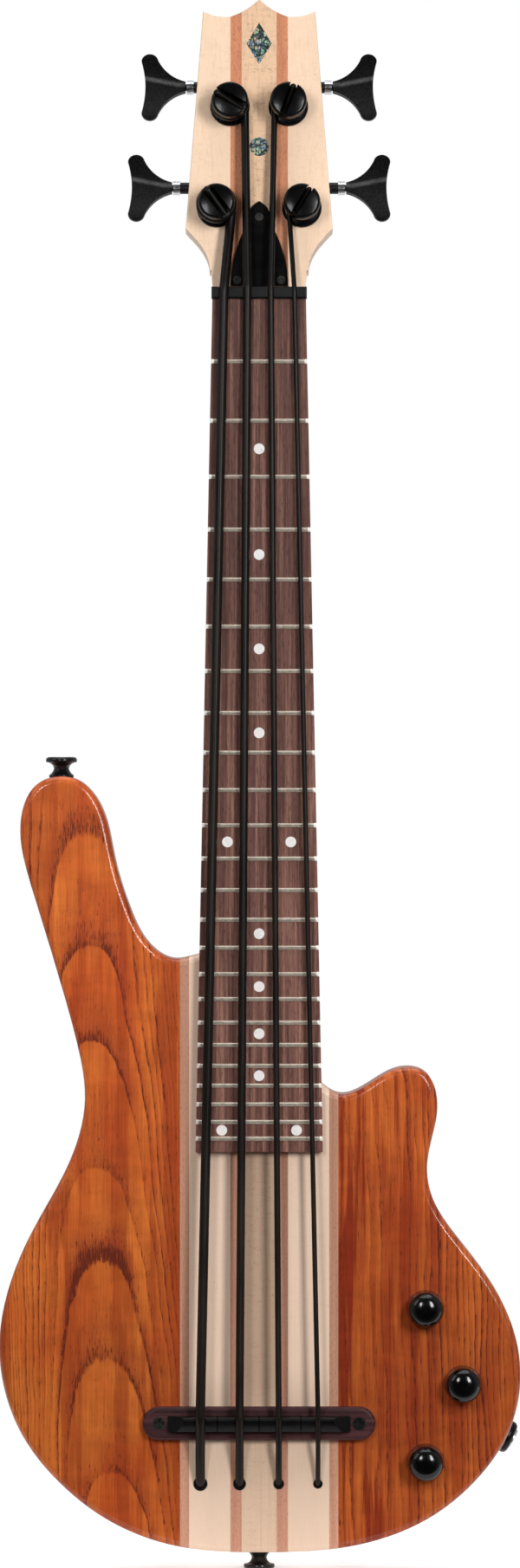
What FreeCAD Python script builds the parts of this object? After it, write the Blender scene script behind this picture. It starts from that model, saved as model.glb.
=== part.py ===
import FreeCAD, Part
import math
import os

# Four-string short-scale electric bass ukulele with a neck-through laminated body.
# Units are millimetres. The instrument stands upright: +Z runs up the neck, +X to the right of
# someone facing the strings, and +Y from the front face to the back.
# The origin is on the centreline, on the neck's front plane, where the open strings leave the nut.

os.makedirs("parts", exist_ok=True)

Vec = FreeCAD.Vector
RIGHT = Vec(1, 0, 0)
BACK = Vec(0, 1, 0)
FRONT = Vec(0, -1, 0)
UP = Vec(0, 0, 1)
DOWN = Vec(0, 0, -1)

# ---------------------------------------------------------------- overall sizes
SCALE_LENGTH = 524.0          # nut to saddle crest
TAIL_LENGTH = 63.4            # saddle crest to the body's bottom edge
BODY_WIDTH = 244.3            # across the lower bout
BODY_LENGTH = 363.9           # bottom edge to the tip of the bass horn
BODY_THICKNESS = 36.0
BODY_ROUNDOVER = 3.0

BRIDGE_Z = -SCALE_LENGTH
BODY_BOTTOM_Z = BRIDGE_Z - TAIL_LENGTH
BODY_MID_Y = BODY_THICKNESS / 2

# Body outline as (across, height above the bottom edge), drawn for the two sizes below and
# stretched to BODY_WIDTH and BODY_LENGTH. It runs from the bass horn's tip down the bass side.
DRAWN_WIDTH = 244.3
DRAWN_LENGTH = 363.9
BODY_OUTLINE = [
    (-93.0, 363.9), (-106.0, 358.4), (-112.0, 338.0), (-108.4, 317.7), (-101.0, 293.4),
    (-91.3, 260.9), (-84.8, 236.4), (-81.7, 212.4), (-84.6, 195.0), (-94.6, 171.6),
    (-108.0, 147.4), (-117.7, 122.9), (-121.8, 97.0), (-118.9, 74.4), (-108.0, 49.8),
    (-94.0, 33.0), (-74.7, 17.4), (-41.0, 3.4), (2.0, 0.0), (44.0, 3.0),
    (82.0, 17.4), (101.5, 33.6), (116.4, 55.0), (122.5, 82.4), (117.0, 110.5),
    (105.5, 131.0), (93.0, 147.2), (82.4, 163.5), (78.7, 181.0), (82.0, 198.5),
    (83.3, 213.5), (77.5, 225.3), (67.0, 227.2), (53.7, 221.1), (38.0, 214.8),
    (25.5, 223.5), (7.0, 244.5), (-12.5, 268.5), (-24.0, 280.6), (-38.5, 278.3),
    (-51.5, 285.4), (-60.3, 301.5), (-67.8, 325.8), (-73.2, 348.0), (-80.5, 359.0),
]
HEEL_HEIGHT = 283.0           # where the bass horn's hollow meets the neck

# Neck-through laminations, as half-width limits from the centreline.
CENTRE_LAMINATION_HALF = 8.2
INNER_STRIPE_OUTER = 13.5
OUTER_LAMINATION_OUTER = 32.8
OUTER_STRIPE_OUTER = 37.1

# ---------------------------------------------------------------- neck, fretboard, nut
FRET_COUNT = 24
BOARD_THICKNESS = 6.0
BOARD_HALF_AT_NUT = 21.9
BOARD_HALF_AT_END = 29.8
BOARD_PAST_LAST_FRET = 6.2
BOARD_EDGE_ROUND = 0.6
NECK_DEPTH_AT_NUT = 14.0
NECK_DEPTH_AT_HEEL = 16.6
HEEL_DEPTH = BODY_THICKNESS - 0.6
HEEL_RUN = 96.0               # length over which the neck thickens to its heel
HEEL_STEPS = 8
HEEL_INSIDE = 74.0            # how far past the horn's hollow the heel runs into the body
NECK_SQUARENESS = 2.2         # 2 is an ellipse, more is squarer
HEEL_SQUARENESS = 4.0
FRET_CROWN = 1.1              # crown height and half-width
FRET_TANG_WIDTH = 0.6
FRET_TANG_DEPTH = 2.0
FRET_END_BEVEL = 0.9
MARKER_RADIUS = 2.5
MARKER_DEPTH = 1.5
SINGLE_MARKER_FRETS = (3, 5, 7, 9, 15, 17, 19, 21)
DOUBLE_MARKERS = {12: 14.8, 24: 17.5}      # fret: half-spacing
NUT_LENGTH = 5.5
NUT_HALF = 22.3
NUT_TOP = 8.9                 # height above the neck's front plane

# ---------------------------------------------------------------- headstock
HEAD_TILT = 8.0               # degrees, leaning back
HEAD_THICKNESS = 14.0
HEAD_ROOT = 14.0              # where the flat slab takes over from the carved neck end
HEAD_ROOT_OVERLAP = 3.0
HEAD_ROOT_HALF = 23.2
HEAD_CORNER_HALF = 34.5
HEAD_CORNER = 34.0
HEAD_TOP_HALF = 26.4
HEAD_TOP = 138.0
HEAD_APEX = 143.8
HEAD_EDGE_ROUND = 0.8
HEAD_SQUARENESS = 9.0
HEAD_ROOT_STEPS = 5
HEAD_LOZENGE = (6.0, 10.0, 122.5)          # half-width, half-height, place up the head
HEAD_DOT = (4.5, 73.0)                     # radius, place up the head
INLAY_DEPTH = 1.2

# ---------------------------------------------------------------- truss rod
ROD_RADIUS = 2.5
ROD_AXIS_DEPTH = 6.0
ROD_CHANNEL_HALF = 3.0
ROD_CHANNEL_DEPTH = 8.8
ROD_THREAD_RADIUS = 1.7
ROD_NUT_CLEARANCE = 0.05
ROD_NUT_RADIUS = 3.2
ROD_NUT_START = 8.0
ROD_NUT_LENGTH = 10.0
ROD_FOOT_Z = -380.0 * SCALE_LENGTH / 524.0
POCKET_HALF = 4.6
POCKET_END = 26.0
POCKET_DEPTH = 10.2
COVER_THICKNESS = 2.0
COVER_START = 5.9
COVER_APEX = 46.5
COVER_HALF = 13.5

# ---------------------------------------------------------------- strings
STRING_NAMES = ("e", "a", "d", "g")
STRING_DIAMETER = {"e": 4.5, "a": 3.9, "d": 2.9, "g": 2.3}
NUT_SPACING = 11.0
BRIDGE_SPACING = 18.35
STRING_FLOOR_AT_NUT = 7.4     # string underside above the neck's front plane
STRING_FLOOR_AT_SADDLE = 11.5
STRING_HOLE_DROP = 31.0       # saddle crest to the through-body holes
STRING_HOLE_CLEARANCE = 0.25
STRING_SEAT_CLEARANCE = 0.05
STRING_BEND_HEIGHT = 1.5      # where the string turns down, above the body face
NUT_BREAK_Z = 4.0
KNOT_EXTRA = 1.5
FERRULE_RADIUS = 5.5
FERRULE_WALL = 0.8
FERRULE_DEPTH = 9.0
FERRULE_FLOOR = 1.2
BUSHING_WALL = 0.8
BUSHING_LENGTH = 4.0
BUSHING_PROUD = 0.3

# ---------------------------------------------------------------- tuning machines
POST_PLACES = {"e": (-20.0, 43.5), "a": (-13.7, 92.0), "d": (13.7, 92.0), "g": (20.0, 43.5)}
WORM_RADIUS = 3.5             # pitch radius
GEAR_TEETH = 20
GEAR_MODULE = 1.0
GEAR_RADIUS = GEAR_TEETH * GEAR_MODULE / 2
WORM_LEAD = math.pi * GEAR_MODULE
KEY_OFFSET = GEAR_RADIUS + WORM_RADIUS
WORM_TURNS = 5
TOOTH_ADDENDUM = 0.75
WORM_ROOT_RADIUS = 2.35
GEAR_ROOT_DROP = 1.1
TOOTH_BASE = 1.5
TOOTH_TIP = 0.65
GEAR_THICKNESS = 5.0
GEAR_PLANE = HEAD_THICKNESS + 4.7          # behind the head's front face
RUNNING_CLEARANCE = 0.05
MESH_CLEARANCE = 0.45
HOUSING_WALL = 1.2
POST_SHAFT_RADIUS = 4.0
POST_SEAT_SHOULDER = 1.0
POST_SEAT_RADIUS = POST_SHAFT_RADIUS - POST_SEAT_SHOULDER
POST_WAIST_EXTRA = 0.8
POST_WAIST_RADIUS = POST_SHAFT_RADIUS + POST_WAIST_EXTRA
POST_FLANGE_RADIUS = 8.0
POST_FLANGE_BASE = 2.3
POST_WAIST_BASE = 3.8
POST_CAP_RADIUS = 8.5
POST_CAP_HEIGHT = 4.5
POST_SLOT_CLEARANCE = 0.6
POST_SLOT_TURN = {"e": 38.0, "a": 62.0, "d": -20.0, "g": -32.0}   # degrees from up-the-head
SLEEVE_WALL = 1.45
SLEEVE_RADIUS = POST_SHAFT_RADIUS + RUNNING_CLEARANCE + SLEEVE_WALL
SLEEVE_LENGTH = 10.0
BUSHING_FLANGE_RADIUS = 9.3
BUSHING_FLANGE = 2.0
WRAP_GAP = 0.2
WRAP_ROOM = 0.4               # spare height over two turns of the thickest string
POST_WAIST_TOP = POST_WAIST_BASE + 3 * WRAP_GAP + 2 * max(STRING_DIAMETER.values()) + WRAP_ROOM
POST_TOP = POST_WAIST_TOP + POST_CAP_HEIGHT
WRAP_PITCH = 0.92             # share of the string's diameter between stacked turns
WRAP_FIXED_TURN = 230.0       # degrees of the string's own first turn about the post
LEVEL_RUN = 8.0               # straight stretch at the post's level before the first turn
KEY_SHAFT_RADIUS = 1.6
KEY_COLLAR_RADIUS = 2.7
KEY_COLLAR_END = 17.2
KEY_WASHER_RADIUS = 3.2
KEY_WASHER_LENGTH = 1.6
KEY_NECK_HALF = 2.3
KEY_HUB = 21.0                # from the post's axis to the key's near end
KEY_LENGTH = 20.9
KEY_LOBE_RADIUS = 4.0
KEY_LOBE_CENTRE = 11.9
KEY_HALF_THICKNESS = 2.9
HOUSING_LUG_RADIUS = 3.0
HOUSING_LUG_THICKNESS = 2.0

# ---------------------------------------------------------------- bridge
BRIDGE_LENGTH = 109.0
BRIDGE_WIDTH = 15.7
BRIDGE_HEIGHT = 5.0
BRIDGE_BEHIND_CREST = 2.5
BRIDGE_EDGE_ROUND = 1.6
BRIDGE_SCREW_X = 46.8
SADDLE_HALF_LENGTH = 42.5
SADDLE_WIDTH = 7.0
SADDLE_GAP = 0.4
SADDLE_SPLITS = (-19.5, 0.0, 19.5)
SADDLE_SLOT_FLOOR = 1.0
PICKUP_THICKNESS = 0.8
SADDLE_NOTCH = 0.5            # how deep the string sits in the saddle
SADDLE_END_TAPER = 9.0
SADDLE_END_HEIGHT = 1.2       # of the tapered ends above the bar

# ---------------------------------------------------------------- controls, height above bottom
KNOB_PLACES = {"volume": (77.9, 114.4), "bass": (95.4, 79.1), "treble": (77.9, 42.5)}
KNOB_RADIUS = 8.9
KNOB_HEIGHT = 14.0
KNOB_GAP = 0.9
KNOB_RECESS = 3.3
KNOB_CROWN = 2.6              # wall over the shaft's end
POT_SHAFT_RADIUS = 3.0
POT_BUSHING_WALL = 0.5
POT_BUSHING_RADIUS = POT_SHAFT_RADIUS + POT_BUSHING_WALL
POT_CASE_RADIUS = 8.0
POT_CASE_HEIGHT = 7.0
POT_NUT_WALL = 1.5
POT_NUT_RADIUS = POT_BUSHING_RADIUS + POT_NUT_WALL
POT_NUT_HEIGHT = 2.2
KNOB_NUT_CLEARANCE = 1.4
KNOB_RECESS_RADIUS = POT_NUT_RADIUS + KNOB_NUT_CLEARANCE
CAVITY_FRONT_WALL = 6.0
CAVITY_CORNERS = [(60.0, 26.0), (89.0, 26.0), (107.0, 58.0), (107.0, 98.0), (94.0, 129.0), (60.0, 129.0)]
CAVITY_CORNER_RADIUS = 7.0
COVER_PLATE_MARGIN = 4.0
COVER_PLATE_THICKNESS = 2.0
COVER_PLATE_FIT = 0.15
COVER_PLATE_SCREWS = [(0, 0.48), (1, 0.5), (2, 0.5), (4, 0.5), (5, 0.16), (5, 0.82)]   # side, share along it
BOARD_PLATE_LOW = (66.0, 38.0)             # across and height of the circuit board's corner
BOARD_PLATE_TOP = 119.0
BOARD_POT_LAP = 0.6                        # how far the board's edge lies on the middle pot
BOARD_PLATE_THICKNESS = 1.6
CHIP_SIZE = (10.0, 2.5, 6.0)
CHIP_INSET = (3.0, 4.0)
CAPACITOR_RADIUS = 2.5
CAPACITOR_HEIGHT = 8.0
CAPACITOR_INSET = (6.0, 15.0)
BATTERY_SIZE = (26.0, 17.0, 48.0)
BATTERY_CORNER = (62.5, 75.0)
BATTERY_EDGE_ROUND = 1.5
BATTERY_GAP = 0.3
TERMINAL_RADIUS = 3.0
TERMINAL_HEIGHT = 2.5
TERMINAL_HALF_SPACING = 6.3
JACK_PLACE = (116.3, 53.2)
JACK_DIRECTION = Vec(0.906, 0, -0.423)
JACK_Y = 20.0
JACK_BORE_RADIUS = 3.25
JACK_BARREL_RADIUS = 4.8
JACK_BARREL_LENGTH = 25.0
JACK_NUT_RADIUS = 7.7
JACK_NUT_HEIGHT = 3.0
JACK_SPOT_MARGIN = 0.3
JACK_CUT_REACH = 6.0          # how far the socket's cuts run out past the body

# ---------------------------------------------------------------- strap buttons and screws
BUTTON_HEIGHT = 9.7
BUTTON_CAP_RADIUS = 7.0
BUTTON_SHANK_RADIUS = 3.5
BUTTON_BASE_RADIUS = 5.8
BUTTON_SEAT_DEPTH = 0.6
BIG_SCREW = (3.2, 1.9, 22.0)               # head radius, shank radius, length
SMALL_SCREW = (1.9, 1.0, 7.0)
COVER_PLATE_SCREW = (1.6, 0.9, 7.0)
SCREW_CONE = 0.8                           # cone height as a share of the head's radius
DRIVE_WIDTH = 0.25                         # recess width as a share of the head's radius


# ================================================================ shared helpers
def box(x_range, y_range, z_range):
    """Box between the two values of each range, in any order."""
    lows = [min(pair) for pair in (x_range, y_range, z_range)]
    sizes = [abs(pair[1] - pair[0]) for pair in (x_range, y_range, z_range)]
    return Part.makeBox(sizes[0], sizes[1], sizes[2], Vec(*lows))


def closed_wire(start, steps, place):
    """Wire from start through steps and back; a step is a point, or (middle, end) of an arc."""
    edges = []
    here = start
    for step in list(steps) + [start]:
        if isinstance(step[0], tuple):
            middle, end = step
            edges.append(Part.Arc(place(*here), place(*middle), place(*end)).toShape())
        else:
            end = step
            if (place(*here) - place(*end)).Length > 1e-6:
                edges.append(Part.LineSegment(place(*here), place(*end)).toShape())
        here = end
    return Part.Wire(edges)


def turned(start, steps, origin, axis):
    """Solid of revolution from a (radius, height) profile, stood on origin along axis."""
    wire = closed_wire(start, steps, lambda radius, height: Vec(radius, 0, height))
    solid = Part.Face(wire).revolve(Vec(0, 0, 0), UP, 360)
    solid.Placement = FreeCAD.Placement(origin, FreeCAD.Rotation(UP, axis))
    return solid


def rounded_path(points, radii):
    """Edges of lines and tangent arcs through points, with one radius per inner point."""
    edges = []
    here = points[0]
    for before, corner, after, radius in zip(points, points[1:], points[2:], radii):
        inward = (before - corner).normalize()
        outward = (after - corner).normalize()
        turn = math.pi - inward.getAngle(outward)
        reach = radius * math.tan(turn / 2)
        middle_reach = radius / math.cos(turn / 2) - radius
        arc_start = corner + inward * reach
        arc_end = corner + outward * reach
        middle = corner + (inward + outward).normalize() * middle_reach
        edges.append(Part.LineSegment(here, arc_start).toShape())
        edges.append(Part.Arc(arc_start, middle, arc_end).toShape())
        here = arc_end
    edges.append(Part.LineSegment(here, points[-1]).toShape())
    return edges


def rounded_polygon(corners, radius, place):
    """Closed wire through (across, up) corners, each rounded by the same radius."""
    points = [place(*corner) for corner in corners]
    middle = (points[0] + points[-1]) * 0.5
    edges = rounded_path([middle] + points + [middle], [radius] * len(points))
    return Part.Wire(edges)


def screw(origin, axis, sizes):
    """Countersunk screw with its head's flat top at origin, facing along axis."""
    head_radius, shank_radius, length = sizes
    cone = head_radius * SCREW_CONE
    body = turned((0, 0), [(head_radius, 0), (shank_radius, -cone), (shank_radius, -length + shank_radius),
                           (0, -length)], origin, axis)
    recess = head_radius * DRIVE_WIDTH
    arm = head_radius * 0.7
    for half_x, half_y in ((arm, recess), (recess, arm)):
        slot = Part.makeBox(2 * half_x, 2 * half_y, cone, Vec(-half_x, -half_y, -cone / 2))
        slot.Placement = FreeCAD.Placement(origin, FreeCAD.Rotation(UP, axis))
        body = body.cut(slot)
    return body


def screw_hole(origin, axis, sizes):
    """Space that a countersunk screw takes up, without its drive recess."""
    head_radius, shank_radius, length = sizes
    cone = head_radius * SCREW_CONE
    return turned((0, 0), [(head_radius, 0), (shank_radius, -cone), (shank_radius, -length + shank_radius),
                           (0, -length)], origin, axis)


def save(node, shapes):
    """Write one node from a shape or a list of solids."""
    solids = []
    for shape in (shapes if isinstance(shapes, list) else [shapes]):
        solids.extend(shape.Solids)
    shape = solids[0] if len(solids) == 1 else Part.makeCompound(solids)
    shape.exportStep("parts/" + node + ".step")
    print(node, len(solids), "solids", round(sum(solid.Volume for solid in solids), 1), "mm3",
          "valid" if all(solid.isValid() for solid in solids) else "NOT VALID")


def body_point(across, height, y=0.0):
    """Point on the body from a place across and a height above the bottom edge."""
    stretch_x = BODY_WIDTH / DRAWN_WIDTH
    stretch_z = BODY_LENGTH / DRAWN_LENGTH
    return Vec(across * stretch_x, y, BODY_BOTTOM_Z + height * stretch_z)


# ================================================================ head frame
HEAD_FRAME = FreeCAD.Placement(Vec(0, 0, 0), FreeCAD.Rotation(RIGHT, -HEAD_TILT))


def on_head(shape):
    """Shape drawn in the head's frame (front face at y = 0, z up the head), put in place."""
    placed = shape.copy()
    placed.Placement = HEAD_FRAME.multiply(placed.Placement)
    return placed


def head_point(across, out, up):
    """Point from a place across, a height out of the head's front face and a place up it."""
    return HEAD_FRAME.multVec(Vec(across, -out, up))


# ================================================================ neck and body woodwork
def fret_distance(fret):
    """Distance from the nut to a fret in equal temperament."""
    return SCALE_LENGTH * (1 - 2 ** (-fret / 12))


BOARD_LENGTH = fret_distance(FRET_COUNT) + BOARD_PAST_LAST_FRET


def board_half_width(distance):
    """Half-width of neck and fretboard at a distance from the nut."""
    share = distance / BOARD_LENGTH
    return BOARD_HALF_AT_NUT + (BOARD_HALF_AT_END - BOARD_HALF_AT_NUT) * share


def neck_section(z, half_width, front, depth, squareness):
    """Section with a flat front and a back rounded as a superellipse."""
    steps = 12
    points = []
    for step in range(steps + 1):
        angle = math.pi * step / steps
        cosine = math.cos(angle)
        across = half_width * math.copysign(abs(cosine) ** (2 / squareness), cosine)
        back = depth * max(math.sin(angle), 0.0) ** (2 / squareness)
        points.append(Vec(across, front + back, z))
    points[0].y = front
    points[-1].y = front
    curve = Part.BSplineCurve()
    curve.interpolate(points)
    return Part.Wire([curve.toShape(), Part.LineSegment(points[-1], points[0]).toShape()])


def blend(start, end, share):
    """Smooth step from start to end as share goes from 0 to 1."""
    share = min(max(share, 0.0), 1.0)
    return start + (end - start) * share * share * (3 - 2 * share)


def neck_solid():
    """Carved neck from the nut to its heel inside the body."""
    heel = -body_point(0, HEEL_HEIGHT).z
    heel_start = heel - HEEL_RUN / 2
    sections = []
    for distance in (-NUT_LENGTH, heel_start / 2):
        depth = NECK_DEPTH_AT_NUT + (NECK_DEPTH_AT_HEEL - NECK_DEPTH_AT_NUT) * max(distance, 0) / heel_start
        sections.append(neck_section(-distance, board_half_width(distance), 0.0, depth, NECK_SQUARENESS))
    for step in range(HEEL_STEPS + 1):
        share = step / HEEL_STEPS
        distance = heel_start + HEEL_RUN * share
        sections.append(neck_section(-distance, board_half_width(distance), 0.0,
                                     blend(NECK_DEPTH_AT_HEEL, HEEL_DEPTH, share),
                                     blend(NECK_SQUARENESS, HEEL_SQUARENESS, share)))
    end = heel + HEEL_INSIDE
    sections.append(neck_section(-end, board_half_width(end), 0.0, HEEL_DEPTH, HEEL_SQUARENESS))
    return Part.makeLoft(sections, True, True)


def head_solid():
    """Tilted slab of the headstock with its flared root and scalloped top."""
    tangent = math.tan(math.radians(HEAD_TILT))
    root_depth = HEAD_THICKNESS / math.cos(math.radians(HEAD_TILT))
    root_top = HEAD_ROOT + HEAD_ROOT_OVERLAP
    sections = []
    for step in range(HEAD_ROOT_STEPS + 1):
        share = step / HEAD_ROOT_STEPS
        up = NUT_LENGTH + (root_top - NUT_LENGTH) * share
        half_width = blend(board_half_width(-NUT_LENGTH), HEAD_ROOT_HALF, share)
        back = blend(NECK_DEPTH_AT_NUT, tangent * root_top + root_depth, share)
        squareness = blend(NECK_SQUARENESS, HEAD_SQUARENESS, share)
        sections.append(neck_section(up, half_width, 0.0, back, squareness))
    in_front = box((-HEAD_CORNER_HALF, HEAD_CORNER_HALF), (-HEAD_THICKNESS, 0), (0, HEAD_APEX))
    root = Part.makeLoft(sections, True, True).cut(on_head(in_front))

    half_outline = [(HEAD_ROOT_HALF, HEAD_ROOT), (24.2, 20.0), (27.6, 26.2), (HEAD_CORNER_HALF, HEAD_CORNER)]
    flare_right = Part.BSplineCurve()
    flare_right.interpolate([Vec(across, 0, up) for across, up in half_outline])
    flare_left = Part.BSplineCurve()
    flare_left.interpolate([Vec(-across, 0, up) for across, up in half_outline])
    dip = (13.6, HEAD_TOP - 2.6)
    crown = closed_wire((HEAD_CORNER_HALF, HEAD_CORNER), [
        (HEAD_TOP_HALF, HEAD_TOP),
        ((20.2, HEAD_TOP - 2.3), dip),
        ((6.6, HEAD_TOP + 0.6), (0, HEAD_APEX)),
        ((-6.6, HEAD_TOP + 0.6), (-dip[0], dip[1])),
        ((-20.2, HEAD_TOP - 2.3), (-HEAD_TOP_HALF, HEAD_TOP)),
        (-HEAD_CORNER_HALF, HEAD_CORNER),
    ], lambda across, up: Vec(across, 0, up))
    base = Part.LineSegment(Vec(-HEAD_ROOT_HALF, 0, HEAD_ROOT), Vec(HEAD_ROOT_HALF, 0, HEAD_ROOT))
    outline = Part.Wire(Part.__sortEdges__([flare_right.toShape(), flare_left.toShape(), base.toShape()]
                                           + crown.Edges[:-1]))
    slab = Part.Face(outline).extrude(BACK * HEAD_THICKNESS)
    rims = [edge for edge in slab.Edges
            if edge.BoundBox.YLength < 1e-3 and edge.BoundBox.ZLength > (HEAD_TOP - HEAD_CORNER) / 2]
    slab = slab.makeFillet(HEAD_EDGE_ROUND, rims)
    return on_head(slab).fuse(root)


def body_solid():
    """Outline extruded to the body's thickness with both edges rounded over."""
    curve = Part.BSplineCurve()
    curve.interpolate(Points=[body_point(*place) for place in BODY_OUTLINE], PeriodicFlag=True)
    block = Part.Face(Part.Wire(curve.toShape())).extrude(BACK * BODY_THICKNESS)
    rims = [edge for edge in block.Edges if edge.BoundBox.YLength < 1e-3]
    return block.makeFillet(BODY_ROUNDOVER, rims)


# ================================================================ strings
def string_radius(name):
    return STRING_DIAMETER[name] / 2


def string_across(name, spacing):
    """Place of a string across the instrument for a given string spacing."""
    return (STRING_NAMES.index(name) - 1.5) * spacing


def winding_radius(name):
    """Radius of the string's centreline round its post's waist."""
    return POST_WAIST_RADIUS + WRAP_GAP + string_radius(name)


def string_level(name):
    """Height of the incoming string's centreline above the head's front face."""
    return POST_WAIST_BASE + WRAP_GAP + string_radius(name)


def string_path(name):
    """Wire of a string from its knot through the body, over saddle and nut, and round its post."""
    radius = string_radius(name)
    across_bridge = string_across(name, BRIDGE_SPACING)
    across_nut = string_across(name, NUT_SPACING)
    hole_z = BRIDGE_Z - STRING_HOLE_DROP
    knot = Vec(across_bridge, BODY_THICKNESS - FERRULE_DEPTH + FERRULE_FLOOR + radius + KNOT_EXTRA, hole_z)
    bend = Vec(across_bridge, -STRING_BEND_HEIGHT, hole_z)
    crest = Vec(across_bridge, -STRING_FLOOR_AT_SADDLE - radius, BRIDGE_Z)
    break_point = Vec(across_nut, -STRING_FLOOR_AT_NUT - radius, NUT_BREAK_Z)

    local = HEAD_FRAME.inverse().multVec(break_point)
    post_x, post_up = POST_PLACES[name]
    level = string_level(name)
    winding = winding_radius(name)
    side = 1 if post_x < 0 else -1
    to_post = math.atan2(post_up - local.z, post_x - local.x)
    distance = math.hypot(post_x - local.x, post_up - local.z)
    heading = to_post - side * math.asin(winding / distance)
    start_angle = heading - side * math.pi / 2

    def around(angle):
        return head_point(post_x + winding * math.cos(angle), level, post_up + winding * math.sin(angle))

    touch = around(start_angle)
    run_back = Vec(math.cos(heading), 0, math.sin(heading)) * LEVEL_RUN
    level_start = HEAD_FRAME.multVec(HEAD_FRAME.inverse().multVec(touch) - run_back)
    edges = rounded_path([knot, bend, crest, break_point, level_start, touch],
                         [2.6 * radius, 3.0 * radius, 20.0, 40.0])
    turn = side * math.radians(WRAP_FIXED_TURN)
    edges.append(Part.Arc(touch, around(start_angle + turn / 2), around(start_angle + turn)).toShape())
    return Part.Wire(edges), knot


def string_solid(name, extra=0.0):
    """Round string along its path, thicker by extra all round."""
    path, knot = string_path(name)
    radius = string_radius(name) + extra
    section = Part.Wire(Part.makeCircle(radius, knot, FRONT))
    return path.makePipeShell([section], True, False)


def string_with_knot(name):
    path, knot = string_path(name)
    ball = Part.makeSphere(string_radius(name) + KNOT_EXTRA, knot)
    return string_solid(name).fuse(ball)


# ================================================================ tuning machines (post frame)
# Each machine is drawn with its post's axis on the y axis, the head's front face at y = 0,
# and its key on the +x side. Machines on the left of the head are mirrored.
def on_post(shape, name, mirrored):
    """Shape drawn in a post's frame, mirrored for the left side if asked, put in place."""
    post_x, post_up = POST_PLACES[name]
    placed = shape.mirror(Vec(0, 0, 0), RIGHT) if mirrored and post_x < 0 else shape.copy()
    shift = FreeCAD.Placement(Vec(post_x, 0, post_up), FreeCAD.Rotation())
    placed.Placement = HEAD_FRAME.multiply(shift).multiply(placed.Placement)
    return placed


def post_up_axis(start, steps):
    return turned(start, steps, Vec(0, 0, 0), FRONT)


def wrap_levels(name):
    """Heights of the turns that are wound on above the incoming string."""
    radius = string_radius(name)
    first = string_level(name) + 2 * radius + WRAP_GAP
    step = 2 * radius * WRAP_PITCH
    count = 1 + int((POST_WAIST_TOP - WRAP_GAP - radius - first) // step)
    return [first + index * step for index in range(count)]


def slot_rotation(name):
    return FreeCAD.Placement(Vec(0, 0, 0), FreeCAD.Rotation(FRONT, POST_SLOT_TURN[name]))


def tuner_post(name):
    """Slotted string post with flange, waist and wide cap, on its shaft."""
    foot = -(GEAR_PLANE + GEAR_THICKNESS / 2)
    shoulder = foot + GEAR_THICKNESS
    post = post_up_axis((0, foot), [
        (POST_SEAT_RADIUS, foot), (POST_SEAT_RADIUS, shoulder), (POST_SHAFT_RADIUS, shoulder),
        (POST_SHAFT_RADIUS, POST_FLANGE_BASE), (POST_FLANGE_RADIUS, POST_FLANGE_BASE),
        (POST_FLANGE_RADIUS, POST_WAIST_BASE - 0.4), (POST_WAIST_RADIUS, POST_WAIST_BASE),
        (POST_WAIST_RADIUS, POST_WAIST_TOP), (POST_CAP_RADIUS, POST_WAIST_TOP),
        ((POST_CAP_RADIUS + 0.15, POST_WAIST_TOP + 1.6), (POST_CAP_RADIUS - 0.1, POST_TOP - 1.5)),
        ((POST_CAP_RADIUS - 0.5, POST_TOP - 0.6), (POST_CAP_RADIUS - 1.3, POST_TOP - 0.2)),
        ((POST_CAP_RADIUS / 2, POST_TOP + 0.2), (0, POST_TOP + 0.3)),
    ])
    half_slot = string_radius(name) + POST_SLOT_CLEARANCE / 2
    floor = wrap_levels(name)[-1] - string_radius(name) - POST_SLOT_CLEARANCE / 2
    reach = POST_CAP_RADIUS + 1
    slot = box((-half_slot, half_slot), (-floor, -POST_TOP - 1), (-reach, reach))
    slot.Placement = slot_rotation(name)
    return post.cut(slot)


def string_wrap(name):
    """Turns wound on the post, with the string's tail lying up through the cap's slot."""
    radius = string_radius(name)
    winding = winding_radius(name)
    levels = wrap_levels(name)
    rings = [Part.makeTorus(winding, radius, Vec(0, -level, 0), FRONT) for level in levels]
    tail_start = Vec(0, -levels[-1], -winding)
    tail_end = Vec(0, -POST_TOP + radius, POST_CAP_RADIUS - 2.0)
    direction = tail_end - tail_start
    tail = Part.makeCylinder(radius, direction.Length, tail_start, direction)
    tip = Part.makeSphere(radius, tail_end)
    tail = tail.fuse(tip)
    tail.Placement = slot_rotation(name)
    wrap = rings[0]
    for piece in rings[1:] + [tail]:
        wrap = wrap.fuse(piece)
    return wrap


def worm_gear():
    """Worm wheel: straight-sided teeth, slanted to follow the worm's thread."""
    slant = math.atan(WORM_LEAD / (2 * math.pi * WORM_RADIUS))
    half_twist = (GEAR_THICKNESS / 2) * math.tan(slant) / GEAR_RADIUS
    root = GEAR_RADIUS - GEAR_ROOT_DROP
    tip = GEAR_RADIUS + TOOTH_ADDENDUM
    wires = []
    for side in (-1, 1):
        y = GEAR_PLANE + side * GEAR_THICKNESS / 2
        points = []
        for tooth in range(GEAR_TEETH):
            centre = 2 * math.pi * tooth / GEAR_TEETH + side * half_twist
            for reach, half in ((root, -TOOTH_BASE / 2), (tip, -TOOTH_TIP / 2), (tip, TOOTH_TIP / 2),
                                (root, TOOTH_BASE / 2)):
                angle = centre + half / reach
                points.append(Vec(reach * math.sin(angle), y, reach * math.cos(angle)))
        wires.append(Part.makePolygon(points + points[:1]))
    wheel = Part.makeLoft(wires, True, True)
    bore = Part.makeCylinder(POST_SEAT_RADIUS, 2 * GEAR_PLANE, Vec(0, 0, 0), BACK)
    return wheel.cut(bore)


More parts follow.
